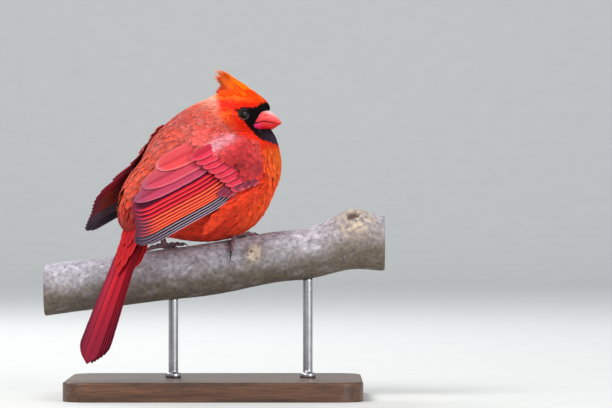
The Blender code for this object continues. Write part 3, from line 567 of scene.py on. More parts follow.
@dataclass(frozen=True)
class TuftFinish(Finish):
    """Body feathers: the tint of each tuft, darker between its hair-like barbs."""

    fineness: float = 4.0
    depth: float = 0.7

    def pattern(self, sketch: Sketch) -> tuple[Socket, Socket]:
        """The tint multiplied by the streaks, and the streaks' height."""
        shade, height = sketch.add("Group", {"Fineness": self.fineness}, node_tree=STREAKS).outputs
        return tinted(sketch, shade, self.depth, 1.15), height


@dataclass(frozen=True)
class VaneFinish(Finish):
    """Wing and tail feathers: the tint across each vane, with slanting barbs."""

    lines: float = 3.0
    depth: float = 0.8

    def pattern(self, sketch: Sketch) -> tuple[Socket, Socket]:
        """The tint multiplied by the barbs, and the barbs' height."""
        shade, height = sketch.add("Group", {"Lines": self.lines}, node_tree=BARBS).outputs
        return tinted(sketch, shade, self.depth, 1.1), height


@dataclass(frozen=True)
class GrainFinish(Finish):
    """A finish that is drawn with the grain of the given sizes in mm."""

    size: float = 1.2
    stretch: float = 1.0
    fine_size: float = 0.35

    def grain(self, sketch: Sketch) -> tuple[Socket, Socket]:
        """Blotches and fine grain."""
        sizes = {"Size": self.size, "Stretch": self.stretch, "Fine Size": self.fine_size}
        return tuple(sketch.add("Group", sizes, node_tree=GRAIN).outputs)


@dataclass(frozen=True)
class SkinFinish(GrainFinish):
    """Bare or painted skin, horn and bark: the tint with small blotches."""

    blotch: float = 0.25

    def pattern(self, sketch: Sketch) -> tuple[Socket, Socket]:
        """The tint multiplied by soft blotches, and a fine grain as height."""
        blotches, fine = self.grain(sketch)
        return tinted(sketch, blotches, 1 - self.blotch, 1 + self.blotch), fine


@dataclass(frozen=True)
class WoodFinish(GrainFinish):
    """Polished wood: two browns mixed by a stretched grain, with a third in the fine pores."""

    light: tuple[float, float, float] = (112, 74, 50)
    dark: tuple[float, float, float] = (62, 38, 26)
    pore: tuple[float, float, float] = (34, 20, 14)

    def pattern(self, sketch: Sketch) -> tuple[Socket, Socket]:
        """Light and dark by the blotches, darker pores by the fine grain, which is the height."""
        blotches, fine = self.grain(sketch)
        broad = sketch.blend(blotches, paint(self.dark), paint(self.light))
        return sketch.blend(sketch.span(fine, 0.55, 0.1, (0, 0.7)), broad, paint(self.pore)), fine


@dataclass(frozen=True)
class SteelFinish(GrainFinish):
    """Brushed steel: grey metal with fine rings round the rod."""

    dull: tuple[float, float, float] = (0.36, 0.36, 0.37)
    bright: tuple[float, float, float] = (0.5, 0.5, 0.51)
    line: tuple[float, float, float] = (0.28, 0.28, 0.29)

    def pattern(self, sketch: Sketch) -> tuple[Socket, Socket]:
        """Two greys by the grain, drawn out round the rod."""
        place = sketch.add("TexCoord").outputs["Object"]
        lines = sketch.noise(sketch.out("Mapping", {0: place, 3: (60.0, 60.0, 4000.0)}), 1.0, 2)
        colour = sketch.blend(self.grain(sketch)[0], self.dull, self.bright)
        return sketch.blend(sketch.span(lines, 0.3, 0.7, (0, 0.5)), colour, self.line), lines


# ---- markings ----


class Markings:
    """The display colours of the bird by place, shared by its skin and its coat."""

    crown, crown_edge, cheek = (255, 104, 4), (246, 36, 4), (255, 88, 4)
    mask, bib_front = (9, 7, 10), (58, 46, 66)
    nape, back, back_grey, rump, vent = (255, 180, 152), (216, 68, 48), (196, 112, 112), (232, 74, 42), (190, 36, 30)
    belly, flank, breast, breast_glint = (212, 36, 12), (230, 48, 16), (252, 76, 14), (255, 116, 26)

    def mask_share(self, points: Array) -> Array:
        """How far each place lies in the black mask and bib: the least of the distances to its
        upper edge, to its lower edge, measured square to the edge, and to its back edge.
        """
        f, _, u = bill_places(points)
        upper = np.interp(f, (-1, 6.5, 11.2, 12.3, 16.1, 20.3), (-0.1, -0.3, 0.3, 1.5, 2.6, 2.2)) - u
        lower = 0.62 * (u - np.interp(f, (0.2, 3.35, 6.5, 9.7, 14.5, 25.6), (-6.2, -8.6, -13.4, -17, -21.4, -23.4)))
        inside = np.minimum(np.minimum(upper, lower), 0.9 * (f - 0.2)) + 0.35 * ripple(points, 1.6 * MM, 2.0)
        line = 0.75 - np.hypot(f - np.clip(f, -2.6, 1.5), (u + 2.3))
        rim = smooth(3.7, 3.2, eye_distance(f, u))
        return np.maximum(np.maximum(smooth(-0.3, 0.4, inside), smooth(-0.2, 0.4, line)), rim)

    def head_share(self, points: Array) -> Array:
        """How far each place lies in the orange of the head, over a ragged lower edge."""
        f, _, u = bill_places(points)
        lower = np.interp(f, (-13, -10, -3.8, 4.3, 12.5, 22), (-3, -11, -16.6, -21, -24.4, -25))
        inside = np.minimum(f + 12.6, 0.8 * (u - lower)) + 0.9 * ripple(points, 3.5 * MM, 5.0)
        return smooth(-2.6, 2.6, inside + 0.9 * ripple(points, 1.3 * MM, 2.0))

    def trunk_colour(self, points: Array) -> Array:
        """Orange-red below and in front, salmon above, by the place across the sloping trunk."""
        f, u, high, far = trunk_places(points)
        mottle = ripple(points, 6 * MM, 1.0)
        back = layered(
            self.back, (self.back_grey, smooth(-0.1, 0.8, ripple(points, 9 * MM, 3.0)) * 0.45),
            (self.nape, smooth(12, 40, far + 3 * mottle)), (self.rump, smooth(-16, -38, far)),
        )
        return layered(
            self.belly, (self.flank, smooth(-30, -8, high + 3 * mottle)),
            (self.breast, smooth(-2, 26, f + 4 * mottle)),
            (self.breast_glint, 0.85 * (smooth(22, 40, f) * smooth(-14, 12, u + 4 * mottle))),
            (back, smooth(2, 19, high + 2.5 * mottle - 0.55 * np.clip(f - 5, 0, 40))),
            (self.vent, smooth(-38, -56, f) * smooth(-18, -30, u)),
        )

    def head_colour(self, points: Array) -> Array:
        """Orange crown, redder above the mask, and an orange cheek that reddens below."""
        f, _, u = bill_places(points)
        mottle = ripple(points, 3.0 * MM, 4.0)
        crown = layered(self.crown_edge, (self.crown, smooth(1.5, 7.0, u + 1.4 * mottle)))
        cheek = smooth(-0.5, 0.6, mottle + 0.1 * (-6 - f))
        return layered(self.crown_edge, (self.cheek, cheek), (crown, smooth(-4, 0.5, u)))

    def colour(self, points: Array) -> Array:
        """The marking at each place: trunk, then head, then mask and bib."""
        f, _, u = bill_places(points)
        black = layered(self.mask, (self.bib_front, smooth(-13, -22, u) * smooth(12, 21, f)))
        head = (self.head_colour(points), self.head_share(points))
        return layered(self.trunk_colour(points), head, (black, self.mask_share(points)))


MARKINGS = Markings()
BODY = ("torso", "neck", "head")


# ---- skin ----


@dataclass
class Skin:
    """One closed skin from rump to crown, under the coat by the coat's depth."""

    rows: int = 176
    columns: int = 192
    trunk_depth: float = 1.7 * MM
    head_depth: float = 1.0 * MM
    face_depth: float = 0.55 * MM
    farthest: float = 85 * MM
    halvings: int = 26
    # painted shade: the skin shows only between the feathers, so it takes the markings darkened by this share
    shade: float = 0.55

    def __post_init__(self) -> None:
        """Works out the grid of the skin."""
        self.share, self.turn = np.linspace(0.0, 1.0, self.rows + 2)[1:-1], circle(self.columns)
        self.grid = self.at(*np.meshgrid(self.share, self.turn, indexing="ij"))
        self.poles = self.at(np.array([0.0, 1.0]), np.zeros(2))

    def depth(self, points: Array) -> Array:
        """How deep the skin lies: least round the bill and eyes, most on the trunk."""
        f, _, u = bill_places(points)
        head = mix(self.head_depth, self.face_depth, smooth(-3, 5, f) * smooth(-20, -12, u))
        return mix(head, self.trunk_depth, smooth(10, 26, below_head(points)))

    def at(self, share: Array, turn: Array) -> Array:
        """The skin as a function of two shares: rays from a centre that slides from the trunk's
        to the head's while they turn from straight down the neck's axis to straight up it, each
        followed by halving until it meets the outline less the depth.

        Args:
            share: 0 under the rump to 1 at the crown.
            turn: angle round the neck's axis.

        Returns:
            The points.
        """
        side = unit(np.cross(NECK_AXIS, HEAD.axes[0]))
        front = np.cross(side, NECK_AXIS)
        polar = np.interp(share, (0, 0.36, 0.72, 1), (pi, 1.72, 1.45, 0))
        centre = TRUNK.centre + (HEAD.centre - TRUNK.centre) * smooth(0.30, 0.78, share)[..., None]
        ray = np.cos(polar)[..., None] * NECK_AXIS + np.sin(polar)[..., None] * (
            np.cos(turn)[..., None] * front + np.sin(turn)[..., None] * side
        )
        near, far = np.zeros(share.shape), np.full(share.shape, self.farthest)
        for _ in range(self.halvings):
            middle = (near + far) / 2
            points = centre + ray * middle[..., None]
            inside = PLUMAGE.height(points) + self.depth(points) < 0
            near, far = np.where(inside, middle, near), np.where(inside, far, middle)
        return centre + ray * near[..., None]

    def build(self, finish: Material) -> Piece:
        """The skin as one closed piece in place of torso, neck and head, in the markings darkened by painted shade."""
        points = np.concatenate([self.grid.reshape(-1, 3), self.poles])
        unwrap = np.stack(np.meshgrid(self.share, self.turn / (2 * pi), indexing="ij"), axis=-1)
        maps = {"Barbs": np.concatenate([unwrap.reshape(-1, 2), [[0, 0.5], [1, 0.5]]]) * 60}
        # painted shade: the markings darkened, as the skin is seen only in the gaps of the coat
        tint = MARKINGS.colour(points) * self.shade
        faces, dress = ball_faces(self.rows, self.columns), Dress("body_plumage", finish, BODY)
        return new_piece("skin", points, faces, dress, tint, maps)


# ---- tufts ----


@dataclass(frozen=True)
class TuftShape:
    """Outline of one body feather: leaf stations and widths, then its loose barbs.

    A barb is its place across, in half widths, and its share along at its root, then at its tip.
    """

    stations: tuple[float, ...]
    widths: tuple[float, ...]
    bend: float
    barbs: tuple[tuple[float, float, float, float], ...]
    barb_width: float
    # painted shade at the root: the share of the colour left at the root, and the share along where the shade ends
    painted_root_shade: float
    painted_shade_reach: float
    most: int

    def faces(self) -> Array:
        """Triangles of one feather: a three-sided leaf, then its three-sided barbs."""
        faces, start = [], 0
        for sections in [len(self.stations) - 1] + [2] * len(self.barbs):
            for row in range(sections - 1):
                for side in range(3):
                    a, b = start + row * 3 + side, start + row * 3 + (side + 1) % 3
                    faces += [(a, b, b + 3), (a, b + 3, a + 3)]
            last, tip = start + (sections - 1) * 3, start + sections * 3
            faces += [(last, last + 1, tip), (last + 1, last + 2, tip), (last + 2, last, tip)]
            faces.append((start, start + 2, start + 1))
            start = tip + 1
        return np.array(faces)


def both_sides(*barbs: tuple[float, float, float, float]) -> tuple:
    """Barbs given for one side, with the same on the other."""
    return tuple((sign * a, b, sign * c, d) for a, b, c, d in barbs for sign in (-1, 1))


WISP = TuftShape(
    (0.0, 0.3, 0.6, 0.85, 1.0), (0.5, 1.0, 0.92, 0.55, 0.0), 0.2,
    both_sides((0.55, 0.30, 1.25, 0.92), (0.30, 0.50, 0.62, 1.08)), 0.24, 0.8, 0.6, 3100,
)
CONTOUR = TuftShape(
    (0.0, 0.25, 0.5, 0.75, 0.92), (0.35, 0.78, 0.92, 0.74, 0.0), 0.4,
    both_sides((0.10, 0.12, 1.06, 0.46), (0.12, 0.22, 1.13, 0.62), (0.14, 0.34, 1.04, 0.76), (0.14, 0.46, 0.84, 0.88),
               (0.12, 0.58, 0.58, 0.98), (0.10, 0.68, 0.30, 1.05)) + ((0.0, 0.7, 0.05, 1.08),),
    0.085, 0.52, 0.62, 1250,
)


@dataclass
class Tufts:
    """Many small feathers along given midlines: thin ribbed leaves with loose side barbs."""

    shape: TuftShape
    middle: Array
    normal: Array
    across: Array
    half: Array
    length: Array
    base: Array
    fringe: Array
    chance: Array
    other: Array
    lit: bool = True

    def part_way(self, place: Array) -> Array:
        """Points on each midline at a share, carried on straight past the tip."""
        share = np.array(self.shape.stations)
        place = np.broadcast_to(place, self.half.shape)
        after = np.clip(np.searchsorted(share, place), 1, len(share) - 1)
        part = ((place - share[after - 1]) / (share[after] - share[after - 1]))[:, None]
        row = np.arange(len(self.half))
        return self.middle[row, after - 1] * (1 - part) + self.middle[row, after] * part

    def aside(self, share: float | Array) -> Array:
        """Steps across each tuft, as a share of its half width."""
        return self.across * (self.half * share)[:, None]

    def arrays(self) -> tuple[Array, Array, Array, Array]:
        """Vertices of every tuft: sections left, right and on the rib of the leaf, then of each
        side barb, which runs from near the midline out and forwards.

        Returns:
            Points and shading normals, tufts first, and each vertex's share along and across.
        """
        count, share, leaf_widths = len(self.half), np.array(self.shape.stations), self.shape.widths
        thick = np.minimum(0.16 * MM, 0.2 * self.half)[:, None]
        side = self.across[:, None] * (np.array(leaf_widths) * self.half[:, None])[..., None]
        tilt = self.shape.bend * self.across[:, None]

        def leaf(*corners: Array) -> Array:
            """Corners of every section but the tip, in turn."""
            return np.stack(corners, axis=2)[:, :-1].reshape(count, -1, 3)

        parts = [leaf(self.middle - side, self.middle + side, self.middle + self.normal * thick[..., None]),
                 self.middle[:, -1:]]
        normals = [leaf(self.normal - tilt, self.normal + tilt, self.normal), self.normal[:, -1:]]
        shares = [np.repeat(share[:-1], 3), share[-1:]]
        sides = [np.tile([-1.0, 1.0, 0.0], len(share) - 1) * np.repeat(leaf_widths[:-1], 3), np.zeros(1)]
        jitter = np.random.default_rng(9).random((count, len(self.shape.barbs), 2)) - 0.5
        here, slim = self.normal[:, 3], self.shape.barb_width
        turn = 0.8 * self.shape.bend * self.across
        stack = np.stack([here - turn, here + turn, here], axis=1)
        for number, (root_side, root_share, tip_side, tip_share) in enumerate(self.shape.barbs):
            lean = jitter[:, number]
            mid_side, mid_share = (root_side + tip_side) / 2 * 1.12, (root_share + tip_share) / 2
            start = self.part_way(root_share) + self.aside(root_side)
            centre = self.part_way(mid_share) + self.aside(mid_side + 0.1 * lean[:, 0])
            end = self.part_way(tip_share + 0.12 * lean[:, 1]) + self.aside(tip_side + 0.3 * lean[:, 0])
            lift = here * (0.07 * MM * (1 + 2 * lean[:, 1:]))
            for place, wide in ((start - lift, slim), (centre + lift, slim * 0.83)):
                edge = self.aside(wide)
                parts.append(np.stack([place - edge, place + edge, place + here * thick * 0.8], axis=1))
            parts.append(end[:, None])
            normals += [stack, stack, here[:, None]]
            shares += [np.full(3, root_share), np.full(3, mid_share), np.full(1, min(tip_share, 1.1))]
            sides += [np.full(3, root_side), np.full(3, mid_side), np.full(1, tip_side)]
        return (np.concatenate(parts, axis=1), np.concatenate(normals, axis=1),
                np.concatenate(shares), np.concatenate(sides))

    def tints(self, shares: Array, sides: Array) -> Array:
        """The base colour, darkened by painted shade at the root and paler at the fringe, at each vertex."""
        low = self.shape.painted_root_shade
        # painted shade: darkest at the root, where the feathers lie under one another, fading out along each
        dark = low + (1 - low) * smooth(0.05, self.shape.painted_shade_reach, shares)
        pale = smooth(0.66, 1.05, shares + 0.16 * np.abs(sides))[None, :, None]
        return self.base[:, None] * dark[None, :, None] * (1 - pale) + self.fringe[:, None] * pale

    def build(self, name: str, dress: Dress, unwrap: Array) -> None:
        """The tufts as one piece, or as several of a few thousand.

        Args:
            name: the piece's name, numbered where there are several.
            dress: its slot, material and nodes.
            unwrap: each root's place on the unwrap of the skin.
        """
        points, normals, shares, sides = self.arrays()
        tint = self.tints(shares, sides)
        barbs = np.stack([sides[None] * self.half[:, None], shares[None] * self.length[:, None]], axis=-1) / MM
        barbs = barbs + np.stack([self.chance * 97, self.other * 131], axis=-1)[:, None]
        patch = 0.003 * np.stack([sides * 0.35, shares - 0.5], axis=-1)[None] + unwrap[:, None]
        faces, order, most = self.shape.faces(), np.argsort(unwrap[:, 1], kind="stable"), self.shape.most
        for number, start in enumerate(range(0, len(order), most)):
            part = order[start:start + most]
            label = name if len(order) <= most else f"{name}_{number + 1}"
            new_piece(label, points[part], repeated(faces, len(part), points.shape[1]), dress, tint[part],
                      {"Barbs": barbs[part], "OFBake": patch[part]}, normals[part] if self.lit else None)


def pale_edge(base: Array, share: Array) -> Array:
    """A tuft's colour at its fringe: part of the way to a greyish pink."""
    grey = 0.4 * base.mean(axis=-1, keepdims=True) + 0.6 * paint((222, 158, 150))
    return layered(base, (0.4 * base + 0.6 * grey, share))


# ---- coat ----


def flow(points: Array) -> Array:
    """The lie of the coat: away from the bill's base near it, and towards the tail beyond."""
    away = points - HEAD.place((13.5, 0, -6.5))
    near = bell(np.linalg.norm(away, axis=-1), 0.0, 58 * MM)[..., None]
    return unit(away) * near + unit(TRUNK.place((-64, 0, -50)) - points) * (1 - near)


# Body feathers of trunk, back, nape, cheek, crown, bib and face: length and half width in mm, how
# many stand on a square millimetre, and how pale their fringe is
CONTOUR_KINDS = (
    (11.0, 2.3, 0.090, 0.25), (10.4, 2.5, 0.095, 0.62), (8.0, 1.9, 0.120, 0.60), (6.0, 1.2, 0.0, 0.1),
    (6.0, 1.2, 0.0, 0.1), (6.0, 1.2, 0.0, 0.1), (3.0, 0.8, 0.0, 0.1),
)
WISP_KINDS = (
    (7.8, 0.44, 0.48, 0.25), (7.2, 0.44, 0.49, 0.55), (6.0, 0.52, 1.15, 0.45), (4.6, 0.46, 2.1, 0.12),
    (5.4, 0.48, 2.0, 0.12), (4.0, 0.42, 2.4, 0.10), (2.2, 0.28, 4.4, 0.04),
)


@dataclass
class Coat:
    """The body feathers: thin ribbed leaves with loose barbs, rooted in the skin, and fewer where
    a wing hides them.
    """

    skin: Skin
    hidden: Callable[[Array], Array]
    eye_room: float = 3.3

    def sizes(self, points: Array, kinds: tuple) -> list[Array]:
        """Length, half width, density and fringe at each place, blended between the kinds."""
        f, _, u = bill_places(points)
        below = below_head(points)
        shares = (
            smooth(0, 12, trunk_places(points)[2]), smooth(30, 16, below) * smooth(9, 0, f),
            smooth(20, 10, below), smooth(-1, 3, u), smooth(3, 8, f) * smooth(-26, -22, u),
            smooth(-1.5, 3.5, f) * smooth(-15.5, -11, u) * smooth(3.5, 1, u),
        )
        found = []
        for value, *others in zip(*kinds):
            for other, share in zip(others, shares):
                value = mix(value, other, share)
            found.append(value)
        return found

    def bare(self, points: Array) -> Array:
        """True where no feather grows: under the bill's base and over the eyes."""
        f, r, u = bill_places(points)
        chin = np.interp(f, (9, 14.5, 19, 23.2), (-12.4, -13.0, -12.6, -11.2))
        bill = (f > bill_base(u) - 0.2) & (u < culmen_height(f) - 0.2) & (u > chin) & (r < bill_room(f, u) + 0.5)
        return bill | ((eye_distance(f, u) < 3.1) & (r > 3))

    def roots(self, kinds: tuple) -> tuple[Array, Array]:
        """Root places, evenly spread by the density of each region.

        Returns:
            The roots, and their places on the unwrap of the skin.
        """
        grid = self.skin.grid
        right = np.roll(grid, -1, axis=1)
        a, b, c, d = grid[:-1], right[:-1], right[1:], grid[1:]
        area = 0.5 * np.linalg.norm(np.cross(c - a, d - b), axis=-1) / MM**2
        middle = (a + b + c + d) / 4
        weight = area * (self.sizes(middle, kinds)[2] * (1 - 0.8 * self.hidden(middle))) + 1e-9
        first, second = scatter(int(weight.sum()))
        rows = np.cumsum(weight.sum(axis=1))
        rows = rows / rows[-1]
        row = np.searchsorted(rows, first).clip(0, len(rows) - 1)
        inner = np.cumsum(weight, axis=1)
        inner = inner / inner[:, -1:] + np.arange(len(rows))[:, None]
        cell = np.searchsorted(inner.ravel(), row + second).clip(0, inner.size - 1)
        column = (cell - row * weight.shape[1]).clip(0, weight.shape[1] - 1)
        before = np.where(row > 0, rows[row - 1], 0)
        v = ((first - before) / (rows[row] - before)).clip(0, 1)[:, None]
        start = np.where(column > 0, inner[row, column - 1], row)
        u = ((row + second - start) / (inner[row, column] - start + 1e-12)).clip(0, 1)[:, None]
        a, b, c, d = (part[row, column] for part in (a, b, c, d))
        points = (a * (1 - u) + b * u) * (1 - v) + (d * (1 - u) + c * u) * v
        unwrap = np.concatenate([(column[:, None] + u) / grid.shape[1], (row[:, None] + v) / grid.shape[0]], axis=1)
        keep = ~self.bare(points)
        return points[keep], unwrap[keep]

    def over_eye(self, roots: Array, lie: Array, length: Array) -> Array:
        """True where a feather would lie over an eye."""
        start, _, rise = bill_places(roots)
        f, r, u = bill_places(roots + lie * length[:, None])
        half_way = eye_distance((f + start) / 2, (u + rise) / 2)
        return ((half_way < self.eye_room) | (eye_distance(f, u) < self.eye_room)) & (r < 14)

    def layer(self, name: str, shape: TuftShape, kinds: tuple, rise: float, finish: Material) -> None:
        """One layer of the coat: each midline leaves its root along the lie and is slid onto
        heights over the outline that rise with the 0.6th power of the share along it.

        Args:
            name: the pieces' name.
            shape: outline of each feather.
            kinds: its sizes by region.
            rise: height of the tips over the outline, in metres.
            finish: the material.
        """
        roots, unwrap = self.roots(kinds)
        usual, half, _, fringe = self.sizes(roots, kinds)
        chance, other = np.random.default_rng(7).random((2, len(roots)))
        outward = PLUMAGE.outward(roots)
        lie = square_to(flow(roots), outward)
        lie = unit(lie + np.cross(outward, lie) * ((chance - 0.5) * 0.5)[:, None])
        across = np.cross(outward, lie)
        length, half = usual * MM * (0.82 + 0.36 * other), half * MM * (0.85 + 0.3 * chance)
        length = np.where(self.over_eye(roots, lie, length), length * 0.45, length)
        share = np.array(shape.stations)[None, :, None]
        bend = ((other - 0.5) * 0.3)[:, None, None] * share**2
        middle = roots[:, None] + (lie[:, None] * share + across[:, None] * bend) * length[:, None, None]
        depth = self.skin.depth(roots)[:, None] * 1.15
        over = (chance - 0.35) * 0.05 * usual * MM + rise + 0.35 * MM * smooth(7, 11, bill_places(roots)[0])
        normal = PLUMAGE.outward(middle)
        middle = PLUMAGE.settled(middle, -depth + (depth + over[:, None]) * share[..., 0] ** 0.6, normal)
        place = roots + lie * (length * 0.6)[:, None]
        fine = 1 + 0.16 * ripple(place, 2.4 * MM, 6.0)
        base = MARKINGS.colour(place) * ((0.84 + 0.34 * chance) * fine)[:, None]
        base = base * np.stack([1 + 0 * other, 0.8 + 0.4 * other, 0.9 + 0.2 * other], axis=-1)
        tufts = Tufts(shape, middle, normal, across, half, length, base, pale_edge(base, fringe), chance, other)
        tufts.build(name, Dress("body_plumage", finish, BODY), unwrap)

    def build(self, finish: Material) -> None:
        """Broad contour feathers on the trunk, then finer wisps over the whole bird."""
        self.layer("contour", CONTOUR, CONTOUR_KINDS, 0.0, finish)
        self.layer("coat", WISP, WISP_KINDS, -0.05 * MM, finish)


# ---- vanes of wings and tail ----

VANE_SHARES = np.array([-1.0, -0.93, -0.86, -0.76, -0.64, -0.5, -0.3, -0.06, 0.0, 0.06, 0.3, 0.65, 1.0])
VANE_GAUGE, RIB_HEIGHT, RIB_WIDTH = 0.22 * MM, 0.2 * MM, 0.06


@dataclass(frozen=True)
class VaneTints:
    """Display colours across one feather: outer edge, outer web, along the rib, inner web, tip."""

    edge: Colour
    outer: Colour
    rib: Colour
    inner: Colour
    tip: Colour
    edge_width: float = 0.16
    tip_share: float = 0.5
    turn: float = 0.06
    tip_from: float = 0.86

    def spread(self, across: Array, along: Array) -> Array:
        """Tints at shares across (-1 outer edge to 1) and along (0 root to 1 tip) the vane, with painted shade towards
        the root.
        """
        middle = (paint(self.edge) + paint(self.inner)) / 2
        colour = layered(
            self.outer, (self.inner, smooth(self.turn - 0.06, self.turn + 0.06, across)),
            (self.rib, smooth(0.16, 0.0, np.abs(across + 0.01)) * 0.85),
            (self.edge, smooth(-1 + 1.6 * self.edge_width, -1 + 0.8 * self.edge_width, across)),
            (middle, smooth(0.62, 0.92, across)),
            (self.tip, smooth(self.tip_from, 1.0, along + 0.05 * across**2) * self.tip_share),
        )
        # painted shade: each vane darker towards its root, where it lies under other feathers
        return colour * (0.62 + 0.38 * smooth(0.0, 0.3, along))[..., None]


def rounded(share: Array, root: float, tip: float | Array) -> Array:
    """Width along a vane: a quick rise from its root, then a quarter circle over the tip."""
    rise = root + (1 - root) * smooth(0, 0.45, share)
    past = np.clip((share - tip) / (1 - tip), 0, 1)
    return np.maximum(rise * np.sqrt(np.clip(1 - past**2.2, 0, 1)), 0.05)


@dataclass(frozen=True)
class Vanes:
    """Plan of many vanes over a curved sheet: places along and across it of each midline, half
    widths, the lift of every vane at places of the sheet, and how uneven the edges are.
    """

    along: Array
    across: Array
    widths: Array
    layer: Callable[[Array, Array], Array]
    tints: Sequence[VaneTints]
    ragged: float

    def build(self, name: str, place: Callable[[Array, Array, Array], Array], dress: Dress) -> Piece:
        """The vanes as one piece: each a grid across its midline, thinner at its edges, raised
        along its rib, with a ragged outline, laid at its layer's height over the sheet.

        Args:
            name: the piece's name.
            place: maps along, across and lift to points.
            dress: its slot, material and nodes.

        Returns:
            The piece.
        """
        count, rows = self.along.shape
        columns, part = len(VANE_SHARES), np.linspace(0, 1, rows)
        step_along, step_across = np.gradient(self.along, axis=1), np.gradient(self.across, axis=1)
        reach = np.hypot(step_along, step_across)
        number, station = np.arange(count)[:, None], np.arange(rows)[None]
        rough = 1 + self.ragged * np.sin(station * 2.9 + number * 5.1) * np.sin(station * 1.3 + number * 2.3)
        offset = (self.widths * rough)[..., None] * VANE_SHARES
        along = self.along[..., None] + (-step_across / reach)[..., None] * offset
        along = along - 0.16 * np.abs(offset) * smooth(0.2, 1, part)[None, :, None]
        across = self.across[..., None] + (step_along / reach)[..., None] * offset
        lift = self.layer(along, across)
        half = VANE_GAUGE / 2 * (1 - 0.55 * np.abs(VANE_SHARES))
        rib = RIB_HEIGHT * bell(VANE_SHARES, 0.0, RIB_WIDTH) * (1 - 0.8 * part)[:, None]
        points = np.concatenate([place(along, across, lift + half + rib).reshape(count, -1, 3),
                                 place(along, across, lift - half).reshape(count, -1, 3)], axis=1)
        share, cross = np.repeat(part, columns), np.tile(VANE_SHARES, rows)
        colours = np.stack([np.tile(kind.spread(cross, share), (2, 1)) for kind in self.tints])
        barbs = np.stack([offset.reshape(count, -1), along.reshape(count, -1) + number * 31 * MM], axis=-1) / MM
        atlas = np.stack([cross * 0.22 + 0.25, share * 0.96 + 0.02], axis=-1)
        atlas = np.concatenate([atlas, atlas + [0.5, 0]])[None] + np.stack([number, 0 * number], axis=-1)
        maps = {"Barbs": np.concatenate([barbs, barbs], axis=1), "OFBake": atlas * [1 / count, 1]}
        faces = repeated(plate_faces(rows, columns), count, points.shape[1])
        return new_piece(name, points, faces, dress, colours, maps)


# ---- wings ----

# In PRIMARY, HAND and ARM the inner colour begins on the outer web, so a dark band shows beside the edge of the next
# feather that laps over it: partly the dusky inner web, partly painted shadow under that edge
PRIMARY = VaneTints(
    (176, 156, 174), (42, 30, 40), (24, 16, 22), (26, 19, 28), (84, 66, 84), 0.09, 0.6, -0.86, 0.72)
HAND = VaneTints(
    (255, 112, 72), (228, 44, 36), (60, 10, 24), (62, 12, 34), (110, 58, 80), 0.105, 0.7, -0.76, 0.88)
ARM = VaneTints(
    (238, 70, 62), (196, 20, 48), (70, 8, 24), (66, 10, 32), (150, 52, 78), 0.085, 0.6, -0.70, 0.93)
TERTIALS = [
    VaneTints((190, 84, 108), (176, 60, 88), (112, 34, 56), (150, 58, 82), (140, 78, 102), 0.14, 0.8, 0.06, 0.88),
    VaneTints((206, 92, 106), (194, 66, 84), (140, 40, 56), (182, 70, 84), (160, 92, 112), 0.14, 0.8, 0.06, 0.9),
    VaneTints((226, 104, 104), (214, 70, 74), (172, 46, 54), (204, 72, 76), (206, 122, 130), 0.14, 0.8, 0.06, 0.92),
]
GREATER = VaneTints(
    (222, 84, 98), (206, 52, 74), (160, 32, 50), (176, 40, 60), (214, 88, 102), 0.16, 0.6, 0.06, 0.84)
ALULA = VaneTints(
    (206, 104, 118), (158, 56, 74), (84, 26, 42), (124, 42, 62), (120, 62, 84), 0.16, 0.7, 0.06, 0.8)

# Wrist and tip, forward, right and up of the trunk's centre in mm, and the roll upwards in degrees
WING_POSES = {
    Side.RIGHT: ((18.0, 33.0, 6.0), (-64.4, 25.8, -47.0), 24),
    Side.LEFT: ((14.0, -33.0, 6.0), (-73.2, -26.0, -38.0), 36),
}

# Outermost primary to innermost tertial, in mm: across at 15 from the wrist, across at 90, length, half width
FLIGHT_FEATHERS = np.array([
    (-8.5, -1.4, 93.0, 4.0), (-7.0, 0.4, 97.5, 4.1), (-5.2, 2.6, 96.0, 4.2), (-3.2, 5.0, 94.0, 4.4),
    (-1.0, 7.6, 91.5, 4.7), (2.0, 10.8, 89.5, 5.2), (5.5, 14.4, 88.5, 5.7), (9.5, 18.8, 87.0, 6.1),
    (13.4, 22.4, 84.0, 6.4), (18.4, 28.5, 74.0, 7.0), (23.6, 38.0, 57.0, 7.2),
])

# Greater coverts, first and last, in mm: place of the tip across and along the wing
COVERT_TIPS = ((-5.4, 29.0), (22.5, 39.0))

# Alula and primary coverts, in mm: place of the tip across and along, length, half width, lift
ALULA_FEATHERS = np.array([
    (-3.4, 37.5, 15, 2.0, 2.6), (-5.2, 36.0, 15, 1.9, 2.8), (-7.0, 33.5, 13, 1.8, 3.0),
    (-6.6, 26.5, 15, 2.5, 3.9), (-8.4, 21.5, 12, 2.1, 4.4), (-9.6, 17.0, 10, 1.8, 4.9),
])[:, None]


def wing_share(along: Array) -> Array:
    """Share of the way between the two stations of FLIGHT_FEATHERS."""
    return (along - 15 * MM) / (75 * MM)


